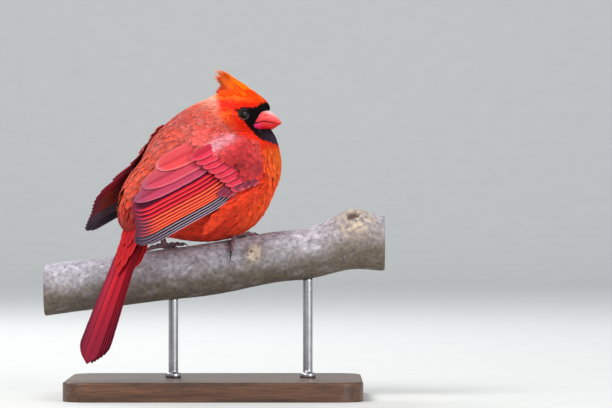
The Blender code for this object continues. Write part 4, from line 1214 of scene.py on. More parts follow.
@dataclass
class Wing:
    """One folded wing on its own curved sheet: along to its tip, across to its upper edge."""

    side: Side
    crown: tuple[float, float] = (42 * MM, 10 * MM)
    crown_height: float = 3.0 * MM
    bow_along: float = 400 * MM
    bow_across: float = 52 * MM
    soft: float = 2.0 * MM
    rest: float = 2.4 * MM
    step: float = 0.86 * MM
    along_grid: tuple[float, float, int] = (-18, 112, 66)
    across_grid: tuple[float, float, int] = (-28, 60, 45)

    def __post_init__(self) -> None:
        """Works out the wing's axes and the heights of its sheet."""
        wrist, tip, roll = WING_POSES[self.side]
        self.origin = TRUNK.place(wrist)
        self.down = unit(TRUNK.place(tip) - self.origin)
        outward = cos(radians(roll)) * self.side.value * TRUNK.axes[1] + sin(radians(roll)) * TRUNK.axes[2]
        self.out = square_to(outward, self.down)
        upper = np.cross(self.down, self.out)
        self.upper = upper if upper[2] > 0 else -upper
        self.grid_along, self.grid_across = np.linspace(*self.along_grid) * MM, np.linspace(*self.across_grid) * MM
        self.heights = self.settle()
        self.slope_along, self.slope_across = np.gradient(self.heights, self.grid_along, self.grid_across)

    def dress(self, finish: Material) -> Dress:
        """What each piece of the wing is for."""
        return Dress("wing_feathers", finish, (f"wing_{self.side.label}",))

    def settle(self) -> Array:
        """Heights of the sheet: the soft maximum b log(e^(bow/b) + e^(rest/b)) of a shallow bow
        and the highest place along the outward axis that is a rest above the plumage.
        """
        along, across = np.meshgrid(self.grid_along, self.grid_across, indexing="ij")
        bow = self.crown_height - (along - self.crown[0]) ** 2 / (2 * self.bow_along)
        bow = bow - (across - self.crown[1]) ** 2 / (2 * self.bow_across)
        flat = self.origin + along[..., None] * self.down + across[..., None] * self.upper
        rest, found = np.full(along.shape, -60 * MM), np.zeros(along.shape, bool)
        for height in np.arange(34.0, -34.0, -0.5) * MM:
            inside = PLUMAGE.height(flat + height * self.out) < self.rest
            rest = np.where(inside & ~found, height, rest)
            found |= inside
        return self.soft * np.logaddexp(bow / self.soft, rest / self.soft)

    def sample(self, values: Array, along: Array, across: Array) -> Array:
        """Values of the sheet's grid between its nodes, mixed along both sides."""
        i, j = (np.clip((place - grid[0]) / (grid[1] - grid[0]), 0, len(grid) - 1.001)
                for place, grid in ((along, self.grid_along), (across, self.grid_across)))
        row, column = i.astype(int), j.astype(int)
        u, v = i - row, j - column
        near = values[row, column] * (1 - v) + values[row, column + 1] * v
        far = values[row + 1, column] * (1 - v) + values[row + 1, column + 1] * v
        return near * (1 - u) + far * u

    def normal(self, along: Array, across: Array) -> Array:
        """Unit normal of the sheet, away from the body."""
        first = self.sample(self.slope_along, along, across)[..., None] * self.down
        return unit(self.out - first - self.sample(self.slope_across, along, across)[..., None] * self.upper)

    def place(self, along: Array, across: Array, lift: Array) -> Array:
        """Points for places along and across the sheet and a lift along its normal."""
        height = self.sample(self.heights, along, across)[..., None]
        sheet = self.origin + along[..., None] * self.down + across[..., None] * self.upper + height * self.out
        return sheet + lift[..., None] * self.normal(along, across)

    def rank(self, along: Array, across: Array) -> Array:
        """The feather number, with fractions, whose midline passes a place: the midlines'
        places across change evenly along the wing, and the number is read between them.
        """
        table, here = FLIGHT_FEATHERS * MM, across[..., None]
        centres = table[:, 0] + (table[:, 1] - table[:, 0]) * wing_share(along)[..., None]
        low = np.clip((here >= centres).sum(axis=-1) - 1, 0, len(table) - 2)[..., None]
        start = np.take_along_axis(centres, low, axis=-1)
        end = np.take_along_axis(centres, low + 1, axis=-1)
        return (low + (here - start) / (end - start))[..., 0]

    def flight(self, finish: Material) -> Piece:
        """Primaries, secondaries and tertials, each lapped over the next outside it."""
        numbers = np.concatenate([np.linspace(0, 2.25, 4), np.linspace(2.95, 7.4, 8), [8.2, 9.1, 10.0]])
        rows = np.stack([np.interp(numbers, np.arange(11), column) for column in FLIGHT_FEATHERS.T])
        first, last, length, half = (rows * MM)[..., None]
        share = np.linspace(0, 1, 30)
        start = (8 + 0.6 * numbers)[:, None] * MM
        along = start + (length - start) * share
        across = first + (last - first) * wing_share(along)
        widths = half * 0.95 * rounded(share + 0 * along, 0.55, np.where(numbers > 7.5, 0.64, 0.86)[:, None])
        own = numbers[:, None, None]

        def layer(there: Array, side: Array) -> Array:
            """A step higher for each feather further out whose midline passes there."""
            return self.step * np.maximum(own - self.rank(there, side), -1.1)

        tints = [PRIMARY if n < 2.6 else HAND if n < 5.7 else ARM for n in numbers[:-3]] + TERTIALS
        vanes = Vanes(along, across, widths, layer, tints, 0.02)
        return vanes.build(f"flight_feathers_{self.side.label}", self.place, self.dress(finish))

    def coverts(self, finish: Material) -> Piece:
        """The row of greater coverts, each tipped over its outer neighbour."""
        count, length, half_width, root_lift, tip_lift = 8, 20.0, 3.4, 3.0, 3.8
        first, last = np.array(COVERT_TIPS)
        tip_across, tip_along = (first + (last - first) * np.linspace(0, 1, count)[:, None]).T[..., None]
        share = np.linspace(0, 1, 12)
        along = (tip_along - length * (1 - share)) * MM
        across = (tip_across - 2.0 + 2.0 * share) * MM
        widths = half_width * MM * rounded(share + 0 * along, 0.7, 0.5)

        def layer(there: Array, side: Array) -> Array:
            """From the lift at the root to the lift at the tip, tilted over the outer neighbour."""
            back = np.clip((tip_along[..., None] * MM - there) / (length * MM), 0, 1)
            return (tip_lift + (root_lift - tip_lift) * back) * MM + 0.15 * (across[..., None] - side)

        vanes = Vanes(along, across, widths, layer, [GREATER] * count, 0.07)
        return vanes.build(f"greater_coverts_{self.side.label}", self.place, self.dress(finish))

    def alula(self, finish: Material) -> Piece:
        """Three primary coverts and three alula feathers at the wing's lower front edge."""
        tip_across, tip_along, length, half, rise = np.moveaxis(ALULA_FEATHERS, -1, 0)
        share = np.linspace(0, 1, 12)
        along = (tip_along - length * (1 - share)) * MM
        across = (tip_across + 0.5 - 0.5 * share) * MM
        widths = half * MM * rounded(share + 0 * along, 0.7, 0.7)
        rise = rise[..., None] * MM

        def layer(there: Array, side: Array) -> Array:
            """The lift, which sinks into the wing with the cube of the share back to the root."""
            back = np.clip((tip_along[..., None] * MM - there) / (length[..., None] * MM), 0, 1)
            return rise - (rise + 0.5 * MM) * back**3 + 0.12 * (across[..., None] - side)

        vanes = Vanes(along, across, widths, layer, [ALULA] * len(ALULA_FEATHERS), 0.02)
        return vanes.build(f"alula_{self.side.label}", self.place, self.dress(finish))

    def dome(self, along: Array, across: Array) -> Array:
        """Lift of the arm under the small coverts in metres, for places in mm: half an ellipsoid,
        or a long low bell along the lower edge, where flank feathers lap over the wing.
        """
        far = ((along - 13.5) / 17.5) ** 2 + ((across - 8.0) / 21.0) ** 2
        arm = 0.6 + 4.5 * np.sqrt(np.clip(1 - far, 0, 1))
        flank = 5.2 * bell(across, -14.5, 4.5) * smooth(-10, 4, along) * smooth(44, 30, along)
        return np.maximum(arm, flank) * MM

    def small_colour(self, along: Array, across: Array, points: Array) -> Array:
        """Dusky rose over the arm with lilac patches, salmon above, orange-red on the flank and a painted shadow at the
        lower front.
        """

        def spot(at: tuple[float, float], size: tuple[float, float]) -> Array:
            """A bell both ways round a place along and across, in mm."""
            return bell(along, at[0], size[0]) * bell(across, at[1], size[1])

        mottle = ripple(points, 5 * MM, 2.0)
        lilac = spot((18, 21.5), (6.0, 3.0)) + 0.5 * spot((8, 19), (6, 2.2))
        return layered(
            (210, 50, 56), ((230, 86, 78), smooth(12, 24, across + 2 * mottle)),
            ((228, 82, 70), smooth(4, -8, along + 2 * mottle)), ((146, 34, 38), 0.85 * spot((15, 4), (8.5, 7))),
            # (120, 46, 58) on the next line is a painted shadow at the lower front of the arm
            ((120, 46, 58), 0.6 * spot((5, -3), (4.5, 3.5))), ((214, 186, 208), np.clip(0.7 * lilac, 0, 0.46)),
            ((228, 58, 22), smooth(-7.5, -11.5, across + mottle)),
        )

    def small_layer(self, name: str, shape: TuftShape, count: int, size: tuple, finish: Material) -> None:
        """Scapulars and small coverts: one layer of tufts that run along the wing over the dome of
        the arm, and as flank feathers over its lower edge.

        Args:
            name: the piece's name.
            shape: outline of each tuft.
            count: how many are scattered before the outline is cut.
            size: length and half width in mm.
            finish: the material.
        """
        first, second = scatter(count, 0.31)
        along, across = -16 + 66 * first, -18 + 52 * second
        front = np.interp(across, (-16, -4, 6, 20, 34), (6, -4, -8, -13, -16))
        last = np.interp(across, (-18, -12, -9.5, -8, 0, 23, 27, 34), (56, 50, 30, 18, 19, 28, 33, 30)) - 6.5
        top = np.interp(along, (-16, -8, 0, 5, 8, 10, 16, 30), (7, 10, 15, 18, 23, 28, 34, 34))
        keep = (along > front) & (along < last) & (across < top)
        along, across = along[keep], across[keep]
        chance, other = np.random.default_rng(5).random((2, len(along)))
        length, half = size[0] * (0.82 + 0.36 * other), size[1] * (0.85 + 0.3 * chance)
        share = np.array(shape.stations)
        run = along[:, None] + length[:, None] * share
        drift = across[:, None] + (length * ((chance - 0.5) * 0.3 - 0.08))[:, None] * share
        lift = self.dome(run, drift) + (-1.0 + (1.35 + 0.4 * chance[:, None]) * share**0.6) * MM
        middle = self.place(run * MM, drift * MM, lift)
        rise_along = (self.dome(run + 0.5, drift) - self.dome(run - 0.5, drift)) / MM
        rise_across = (self.dome(run, drift + 0.5) - self.dome(run, drift - 0.5)) / MM
        normal = self.normal(run * MM, drift * MM)
        normal = unit(normal - rise_along[..., None] * self.down - rise_across[..., None] * self.upper)
        sideways = unit(np.cross(normal[:, 2], unit(middle[:, 3] - middle[:, 1])))
        base = self.small_colour(along + 3, across, middle[:, 2]) * (0.78 + 0.44 * chance)[:, None]
        fringe = pale_edge(base, 0.18 + 0.25 * smooth(10, 22, across))
        tufts = Tufts(shape, middle, normal, sideways, half * MM, length * MM, base, fringe, chance, other,
                      lit=self.side is Side.RIGHT)
        unwrap = np.stack([(across + 20) / 60, (along + 20) / 60], axis=-1)
        tufts.build(f"{name}_{self.side.label}", self.dress(finish), unwrap)

    def build(self, vanes: Material, feathers: Material) -> None:
        """Flight feathers, alula, two layers of small coverts and the greater coverts."""
        self.flight(vanes)
        self.alula(vanes)
        self.small_layer("covert_vanes", CONTOUR, 620, (9.2, 1.85), feathers)
        self.small_layer("covert_wisps", WISP, 1780, (6.4, 0.46), feathers)
        self.coverts(vanes)

    def covering(self, points: Array) -> Array:
        """How surely places of the body lie under this wing, from 0 to 1."""
        local = points - self.origin
        along, across, out = local @ self.down / MM, local @ self.upper / MM, local @ self.out / MM
        over = self.sample(self.heights, along * MM, across * MM) / MM
        inner = smooth(0, 5, along - 4) * smooth(0, 5, 84 - along)
        inner = inner * smooth(0, 3, across + 7 - 0.1 * along) * smooth(0, 4, 20 + 0.16 * along - across)
        return inner * (np.abs(out - over) < 16)


# ---- tail ----

RECTRIX_TOP = VaneTints(
    (214, 52, 58), (196, 32, 46), (84, 10, 28), (176, 28, 44), (116, 30, 52), 0.2, 0.75, 0.06, 0.45)
RECTRIX = VaneTints((176, 44, 62), (126, 22, 46), (84, 12, 30), (186, 26, 40), (104, 28, 50), 0.24, 0.75, 0.0, 0.45)
RECTRIX_OUTER = VaneTints(
    (140, 46, 66), (92, 24, 46), (60, 12, 26), (160, 26, 42), (88, 28, 50), 0.2, 0.75, 0.0, 0.45)
TAIL_COVERT = VaneTints((208, 50, 48), (196, 34, 40), (146, 20, 32), (188, 34, 42), (198, 52, 52), 0.16, 0.4)

# Upper, then under tail coverts, in mm: tip along and across, half width, lift and length
TAIL_COVERTS = np.array([
    (47, 0, 3.6, 4.3, 36), (42, 2.8, 3.4, 4.9, 32), (42, -2.8, 3.4, 5.1, 32), (35, 5.2, 3.3, 5.0, 28),
    (35, -5.2, 3.3, 5.2, 28), (29, 1.6, 3.4, 6.0, 24), (28, -2.2, 3.4, 6.3, 24), (24, 5.5, 3.2, 5.6, 20),
    (24, -6.0, 3.2, 5.8, 20), (43, 0, 4.6, -5.0, 36), (37, 3.2, 3.8, -5.4, 30), (37, -3.2, 3.8, -5.7, 30),
])[:, None]


@dataclass
class Tail:
    """The folded tail: twelve lapped feathers, arched across, with coverts above and below."""

    root: tuple[float, float, float] = (-41.5, 0.0, -24.0)
    heading: float = radians(38)
    slope: float = radians(65.5)
    twist: float = radians(8)
    length: float = 105 * MM
    spread: float = 1.45 * MM
    step: float = 0.88 * MM
    arch: float = 50 * MM

    def __post_init__(self) -> None:
        """Works out the tail's axes."""
        forward, right, up = level_axes(self.heading)
        self.origin = TRUNK.place(self.root)
        self.down = -cos(self.slope) * forward - sin(self.slope) * up
        flat = -sin(self.slope) * forward + cos(self.slope) * up
        self.sideways = cos(self.twist) * right - sin(self.twist) * flat
        self.dorsal = cos(self.twist) * flat + sin(self.twist) * right

    def place(self, along: Array, across: Array, lift: Array) -> Array:
        """Points along, across and above the tail, which drops by across^2 / 100 mm to each side."""
        height = (lift - across**2 / (2 * self.arch))[..., None] * self.dorsal
        return self.origin + along[..., None] * self.down + across[..., None] * self.sideways + height

    def fan(self, along: Array) -> Array:
        """Sideways step between neighbouring feathers, widening evenly to the tip."""
        return self.spread * (0.55 + 0.75 * along / self.length)

    def rectrices(self) -> Vanes:
        """The twelve tail feathers, the outermost pair lowest."""
        rank = np.repeat(np.arange(6)[::-1], 2).astype(float)[:, None]
        sign = np.tile([1.0, -1.0], 6)[:, None]
        share = np.linspace(0, 1, 36)
        length = self.length - (0.9 * rank + 0.12 * rank**2) * MM
        along = -4 * MM + (length + 4 * MM) * share
        across = sign * (rank + 0.35) * self.fan(along)
        shape = np.interp(share, (0, 0.4, 0.75, 1), (0.55, 0.86, 1, 1.02))
        shape = np.maximum(shape * np.sqrt(1 - np.clip((share - 0.93) / 0.07, 0, 1) ** 2.4), 0.12)
        widths = (5.6 - 0.18 * rank) * MM * shape
        order = rank[..., None]

        def layer(there: Array, side: Array) -> Array:
            """A step higher for each place inwards, with the middle pair flat on top."""
            lapped = self.step * (np.abs(side) / self.fan(there) - order)
            return np.where(order == 0, self.step * (1.4 + (sign[..., None] > 0)) + 0 * there, lapped)

        tints = [RECTRIX_TOP if r == 0 else RECTRIX_OUTER if r > 3 else RECTRIX for r in rank[:, 0]]
        return Vanes(along, across, widths, layer, tints, 0.015)

    def coverts(self) -> Vanes:
        """Upper and under coverts, each at its own lift."""
        tip_along, tip_across, half, lift, length = np.moveaxis(TAIL_COVERTS * MM, -1, 0)
        share = np.linspace(0, 1, 16)
        along = tip_along - length * (1 - share)
        widths = half * rounded(share + 0 * along, 0.8, 0.55)

        def layer(there: Array, side: Array) -> Array:
            """Each covert's own lift, all over it."""
            return lift[..., None] + 0 * side

        tints = [TAIL_COVERT] * len(TAIL_COVERTS)
        return Vanes(along, tip_across * (0.6 + 0.4 * share), widths, layer, tints, 0.12)

    def build(self, finish: Material) -> None:
        """Tail feathers, then coverts."""
        dress = Dress("tail_feathers", finish, ("tail",))
        self.rectrices().build("tail_feathers", self.place, dress)
        self.coverts().build("tail_coverts", self.place, dress)


# ---- crest ----

# Rows of the crest on the mid-line, in the head's frame in mm: root forward and up, tip forward and up
CREST_ROWS = np.array([
    (13.0, 4.0, 4.8, 14.2), (11.0, 6.4, -3.2, 19.2), (8.5, 8.0, -9.0, 22.4), (5.0, 9.3, -16.6, 22.4),
    (0.5, 10.3, -14.2, 18.2), (-4.0, 10.3, -12.6, 13.6), (-8.5, 8.0, -14.8, 8.8),
])


@dataclass
class Crest:
    """The crest: slim plumes that rise from the sides and top of the head towards its mid-line."""

    count: int = 900
    side: float = 8.4
    drop: float = 6.4
    rise: float = 1.2
    half_width: float = 0.62 * MM
    root_depth: float = 0.9 * MM

    def midlines(self, row: Array, cross: Array, other: Array) -> Array:
        """Midlines of the plumes: each runs from the head's side or top by the steps of its row,
        bowed up by a sine and narrowing towards the mid-line. Plumes rooted lower are shorter, all
        are pushed out of the head's outline, and clumps of them part at the back.

        Args:
            row: row of each plume, with fractions.
            cross: its place across the head, from -1 to 1.
            other: a chance from 0 to 1.

        Returns:
            Points, plumes first.
        """
        root_f, root_u, tip_f, tip_u = (np.interp(row, np.arange(7), column)[:, None] for column in CREST_ROWS.T)
        share, low = np.array(WISP.stations), np.abs(cross)
        clump = np.floor(row * 1.5 + 0.6 * np.sin(cross * 3))
        parted = np.sin(clump * 2.4) * smooth(0.8, 2.6, row)
        thinned = 1.04 - 0.16 * np.abs(np.sin(clump * 1.9)) - 0.08 * other + 0.1 * np.maximum(parted, 0)
        reach = share * ((1 - 0.5 * low**1.3) * thinned)[:, None]
        up = root_u + (tip_u - root_u) * reach
        up = up + self.rise * np.sin(pi * reach) - (self.drop * low**1.7)[:, None] * (1 - 0.25 * reach)
        up = up + (1.8 * parted)[:, None] * share**2
        width = self.side * (1 - 0.02 * (row - 2.6) ** 2)
        sideways = (np.sign(cross) * low**0.9 * width)[:, None] * (1 - 0.86 * reach)
        middle = HEAD.place(np.stack([root_f + (tip_f - root_f) * reach, sideways, up], axis=-1))
        least = (0.25 + 1.0 * share) * (1 - 0.8 * low[:, None] ** 2) * MM
        for _ in range(3):
            sunk = np.maximum(least - PLUMAGE.height(middle), 0)
            middle = middle + PLUMAGE.outward(middle) * sunk[..., None]
        middle[:, 0] -= PLUMAGE.outward(middle[:, 0]) * self.root_depth
        return middle

    def build(self, finish: Material) -> None:
        """The plumes: orange, redder behind and along the lower edge, paler at their tips."""
        row, cross = scatter(self.count, 0.17)
        row, cross = row**0.95 * 6, 2 * cross - 1
        chance, other = np.random.default_rng(3).random((2, self.count))
        middle, share, low = self.midlines(row, cross, other), np.array(WISP.stations), np.abs(cross)
        along = unit(np.gradient(middle, axis=1))
        lean = unit(np.stack([0 * cross, 1.5 * cross, 1.05 - 0.7 * low], axis=-1) @ HEAD.axes)
        lean = lean[:, None] * share[:, None] + PLUMAGE.outward(middle) * (1.1 - share)[:, None]
        normal = square_to(lean, along)
        across = unit(np.cross(normal[:, 2], along[:, 2]))
        length = np.linalg.norm(middle[:, -1] - middle[:, 0], axis=-1)
        band = smooth(6.5, 2.5, (middle[:, 0] - HEAD.centre)[:, 2] / MM + 0.8 * np.sin(row * 3))
        base = layered(
            (255, 126, 2), ((255, 104, 4), 0.6 * smooth(0.2, 5.0, row) * other),
            ((255, 150, 8), 0.7 * smooth(0.3, 0.8, np.sin(row * 2.1 + 1) * (1 - low))),
            ((250, 44, 4), 0.7 * smooth(2.0, 4.8, row + 0.8 * np.sin(cross * 7))), ((244, 44, 4), 0.8 * band),
        ) * (0.94 + 0.2 * chance)[:, None]
        wisp = layered(base, ((255, 136, 96), 0.5 * smooth(1.2, 3.5, row) * (1 - 0.5 * low)))
        half = self.half_width * (0.8 + 0.5 * chance)
        tufts = Tufts(WISP, middle, normal, across, half, length, base, wisp, chance, other, lit=False)
        unwrap = np.stack([0.5 + 0.1 * cross, 0.97 - 0.03 * row / 6], axis=-1)
        tufts.build("crest_plumes", Dress("head_plumage", finish, ("crest",)), unwrap)


# ---- bill ----


def curve_through(points: Sequence, count: int) -> Array:
    """A smooth curve through points: cubic pieces whose slopes at each are half the step between
    its neighbours, given at a count of places evenly spread over the pieces.
    """
    given = np.asarray(points, float)
    slope = np.gradient(given, axis=0)
    at = np.linspace(0, len(given) - 1, count)
    piece = np.clip(at.astype(int), 0, len(given) - 2)
    t = (at - piece).reshape((-1,) + (1,) * (given.ndim - 1))
    start, end, leave, reach = given[piece], given[piece + 1], slope[piece], slope[piece + 1]
    return (start * (2 * t**3 - 3 * t**2 + 1) + leave * (t**3 - 2 * t**2 + t)
            + end * (3 * t**2 - 2 * t**3) + reach * (t**3 - t**2))


@dataclass(frozen=True)
class Bill:
    """The heavy cone of the bill, as edges in the head's frame in mm, from base to tip."""

    culmen: tuple = ((9.0, 1.5), (17.3, -0.9), (21.3, -2.9), (24.4, -5.5), (26.6, -8.2), (27.2, -9.9))
    cutting_edge: tuple = ((3.0, -9.8), (10.3, -9.9), (15.0, -8.6), (20.0, -9.2), (24.5, -9.9), (26.8, -10.2))
    gonys: tuple = ((3.0, -13.5), (10.5, -15.2), (14.5, -15.6), (19.0, -14.8), (23.2, -12.6), (25.8, -10.7))
    half_widths: tuple = (6.9, 6.7, 5.8, 4.3, 2.3, 0.7)
    rows: int = 46
    columns: int = 41
    gap: float = 0.05

    def faces(self) -> Array:
        """Triangles round every section, then a fan over each end."""
        index = np.arange(self.rows * self.columns).reshape(self.rows, self.columns)
        after = np.roll(index, -1, axis=1)
        faces = [triangles(index[:-1], after[:-1], after[1:], index[1:])]
        for row, turn in ((0, 1), (-1, -1)):
            fan = np.stack([np.full(self.columns - 2, index[row, 0]), index[row, 2:], index[row, 1:-1]], axis=1)
            faces.append(fan[:, ::turn])
        return np.concatenate(faces)

    def tint(self, upper: bool, high: Array, forward: Array, pit: Array) -> Array:
        """Coral above, paler towards the ridge with a painted highlight along it, deeper red below, painted shade at
        the cutting edge and in the nostril, and a dark tip.
        """
        back = smooth(15.5, 11.5, forward)
        if upper:
            horn = layered(
                (240, 40, 46), ((255, 96, 90), smooth(0.1, 0.85, high)),
                # painted highlight along the upper ridge
                ((255, 206, 206), 0.85 * smooth(0.66, 0.95, high) * smooth(27, 19, forward)),
                ((232, 34, 66), 0.5 * back * smooth(0.9, 0.4, high)),
            )
        else:
            horn = layered((214, 2, 10), ((190, 2, 8), smooth(0.2, 0.9, high)),
                           ((240, 30, 112), 0.85 * back * smooth(1.0, 0.3, high)))
        # painted shade along the mouth line at the cutting edge and in the nostril's hollow, then the darker tip
        return layered(horn, ((66, 8, 14), smooth(0.15, 0.0, high) * 0.9), ((60, 12, 18), 0.9 * smooth(0.3, 0.9, pit)),
                       ((150, 60, 60), 0.5 * smooth(25.5, 27.2, forward)))

    def half(self, name: str, ridge: tuple, lift: float, finish: Material) -> Piece:
        """One mandible: sections that arch as the 0.8th power of a sine from the cutting edge to
        the ridge, cosine wide, closed by a flat inner face and by both ends.

        Args:
            name: its node's name.
            ridge: culmen or gonys.
            lift: height of the cutting edge over the mouth line, in mm.
            finish: the material.

        Returns:
            The piece.
        """
        lines = (ridge, self.cutting_edge, self.half_widths)
        top, edge, wide = (curve_through(line, self.rows)[:, None] for line in lines)
        angle = np.linspace(0, pi, self.columns)[None]
        share = np.sin(angle) ** 0.8
        forward = edge[..., 0] + (top[..., 0] - edge[..., 0]) * share
        up = edge[..., 1] + lift + (top[..., 1] - edge[..., 1] - lift) * share
        pit = np.exp(-(((forward - 16.9) / 1.0) ** 2 + ((up + 4.6) / 0.55) ** 2)) * (lift > 0)
        growth = 0.012 * np.sin(forward * 5.5 + up * 1.2)
        side = wide * np.cos(angle) * (1 - 0.16 * pit) * (1 + growth)
        points = HEAD.place(np.stack([forward, side, up], axis=-1))
        tint = self.tint(lift > 0, share + 0 * forward, forward, pit)
        return new_piece(f"{name}_horn", points, self.faces(), Dress("bill", finish, (name,)), tint)

    def build(self, finish: Material) -> None:
        """Both mandibles."""
        self.half("bill_upper", self.culmen, self.gap, finish)
        self.half("bill_lower", self.gonys, -self.gap, finish)


# ---- eyes ----


def ball(cap: Array, turn: Array) -> Array:
    """Points of a unit ball by the angle from its pole and the turn round it."""
    return np.stack([np.sin(cap) * np.cos(turn), np.sin(cap) * np.sin(turn), np.cos(cap)], axis=-1)


@dataclass(frozen=True)
class Eye:
    """An eyeball with its lids, set into the face beside the head's centre."""

    side: Side
    sink: float = 2.6 * MM
    radius: float = 3.7 * MM
    ring: float = 2.8 * MM
    lid: float = 0.32 * MM
    lid_edge: float = 1.45

    def centre(self) -> Array:
        """Centre of the ball: where a sideways ray leaves the plumage, less the sink."""
        outward = self.side.value * HEAD.axes[1]
        start = HEAD.place((EYE_PLACE[0], 0, EYE_PLACE[1]))
        reach = np.linspace(0, 16, 1601) * MM
        inside = PLUMAGE.height(start + reach[:, None] * outward) < 0
        return start + outward * (reach[inside].max() - self.sink)

    def placed(self, local: Array) -> Array:
        """Places forward, up and out of the eye, which looks sideways and a little along the face,
        in the model's frame.
        """
        sideways, centre = self.side.value * HEAD.axes[1], self.centre()
        out = unit(0.62 * sideways + 0.38 * PLUMAGE.outward(centre + sideways * self.sink))
        forward = square_to(HEAD.axes[0], out)
        up = np.cross(out, forward)
        return centre + local @ np.stack([forward, up if up[2] > 0 else -up, out])

    def eyeball(self, finish: Material) -> Piece:
        """A ball on rings round its outward axis, with a slight corneal bulge, brown round a
        black pupil.
        """
        rows, columns, back = 40, 56, 0.985
        cap, around = np.meshgrid(np.linspace(0, pi, rows + 2)[1:-1], circle(columns), indexing="ij")
        swell = self.radius * (back + (1 - back) * bell(cap, 0.0, 0.5))
        poles = [[0, 0, self.radius], [0, 0, -self.radius * back]]
        local = np.concatenate([(ball(cap, around) * swell[..., None]).reshape(-1, 3), poles])
        x, y, z = local.T
        off = np.hypot(x, y) / MM + 10 * (z < 0)
        iris = layered((34, 18, 12), ((16, 9, 8), 0.5 + 0.5 * np.sin(np.arctan2(y, x) * 23)))
        colour = layered((3, 3, 4), (iris, smooth(1.35, 1.6, off)), ((8, 7, 8), smooth(2.3, 2.9, off)))
        side = self.side.label
        dress = Dress("eye", finish, (f"eye_{side}",))
        return new_piece(f"eyeball_{side}", self.placed(local), ball_faces(rows, columns), dress, colour)

    def lids(self, finish: Material) -> Piece:
        """Wrinkled lids: a closed band that lies on the ball from a slightly flattened opening
        out to the face, with a bead round its rim that falls off as a bell, pinched at both corners.
        """
        turns, sides = 96, 16
        turn, share = circle(turns)[:, None], np.linspace(0, 1, sides)[None]
        corner = np.abs(np.cos(turn))
        opening = np.arcsin(self.ring * (0.94 + 0.06 * corner + 0.05 * corner**6) / self.radius)
        cap = opening + (self.lid_edge - opening) * share**1.5
        wrinkle = 1 + 0.12 * np.sin(turn * 24) + 0.06 * np.sin(turn * 37 + 1)
        bead = self.lid * wrinkle * bell(cap - opening, 0.07, 0.08)
        reach = np.concatenate([self.radius + 0.10 * MM + bead, self.radius - 0.12 * MM + 0 * cap], axis=1)
        local = ball(np.concatenate([cap, cap[:, ::-1]], axis=1), turn + 0 * reach) * reach[..., None]
        index = np.arange(turns * sides * 2).reshape(turns, sides * 2)
        after = np.roll(index, -1, axis=0)
        faces = triangles(index, np.roll(index, -1, axis=1), np.roll(after, -1, axis=1), after)
        low = smooth(0.2, -0.7, np.sin(turn)) * smooth(0.3, 0.8, (reach - self.radius) / self.lid)
        colour = layered((9, 8, 10), ((96, 94, 104), low))
        dress = Dress("head_plumage", finish, ("head",))
        return new_piece(f"eyelids_{self.side.label}", self.placed(local), faces, dress, colour)


# ---- branch ----

# Scars on the bark: place along in mm and turn in degrees, size, rise of the ring and depth in mm
SCARS = (
    ((86.0, 30.0), 6.2, 0.9, 2.6), ((24.5, 70.0), 3.6, 0.55, 0.35), ((-58.0, 40.0), 2.6, 0.4, 0.5),
    ((54.0, 205.0), 3.2, 0.4, 0.6), ((-12.0, 215.0), 4.0, 0.5, 0.8), ((60.0, 255.0), 3.4, 0.5, 0.7),
    ((-84.0, 300.0), 3.0, 0.4, 0.6),
)


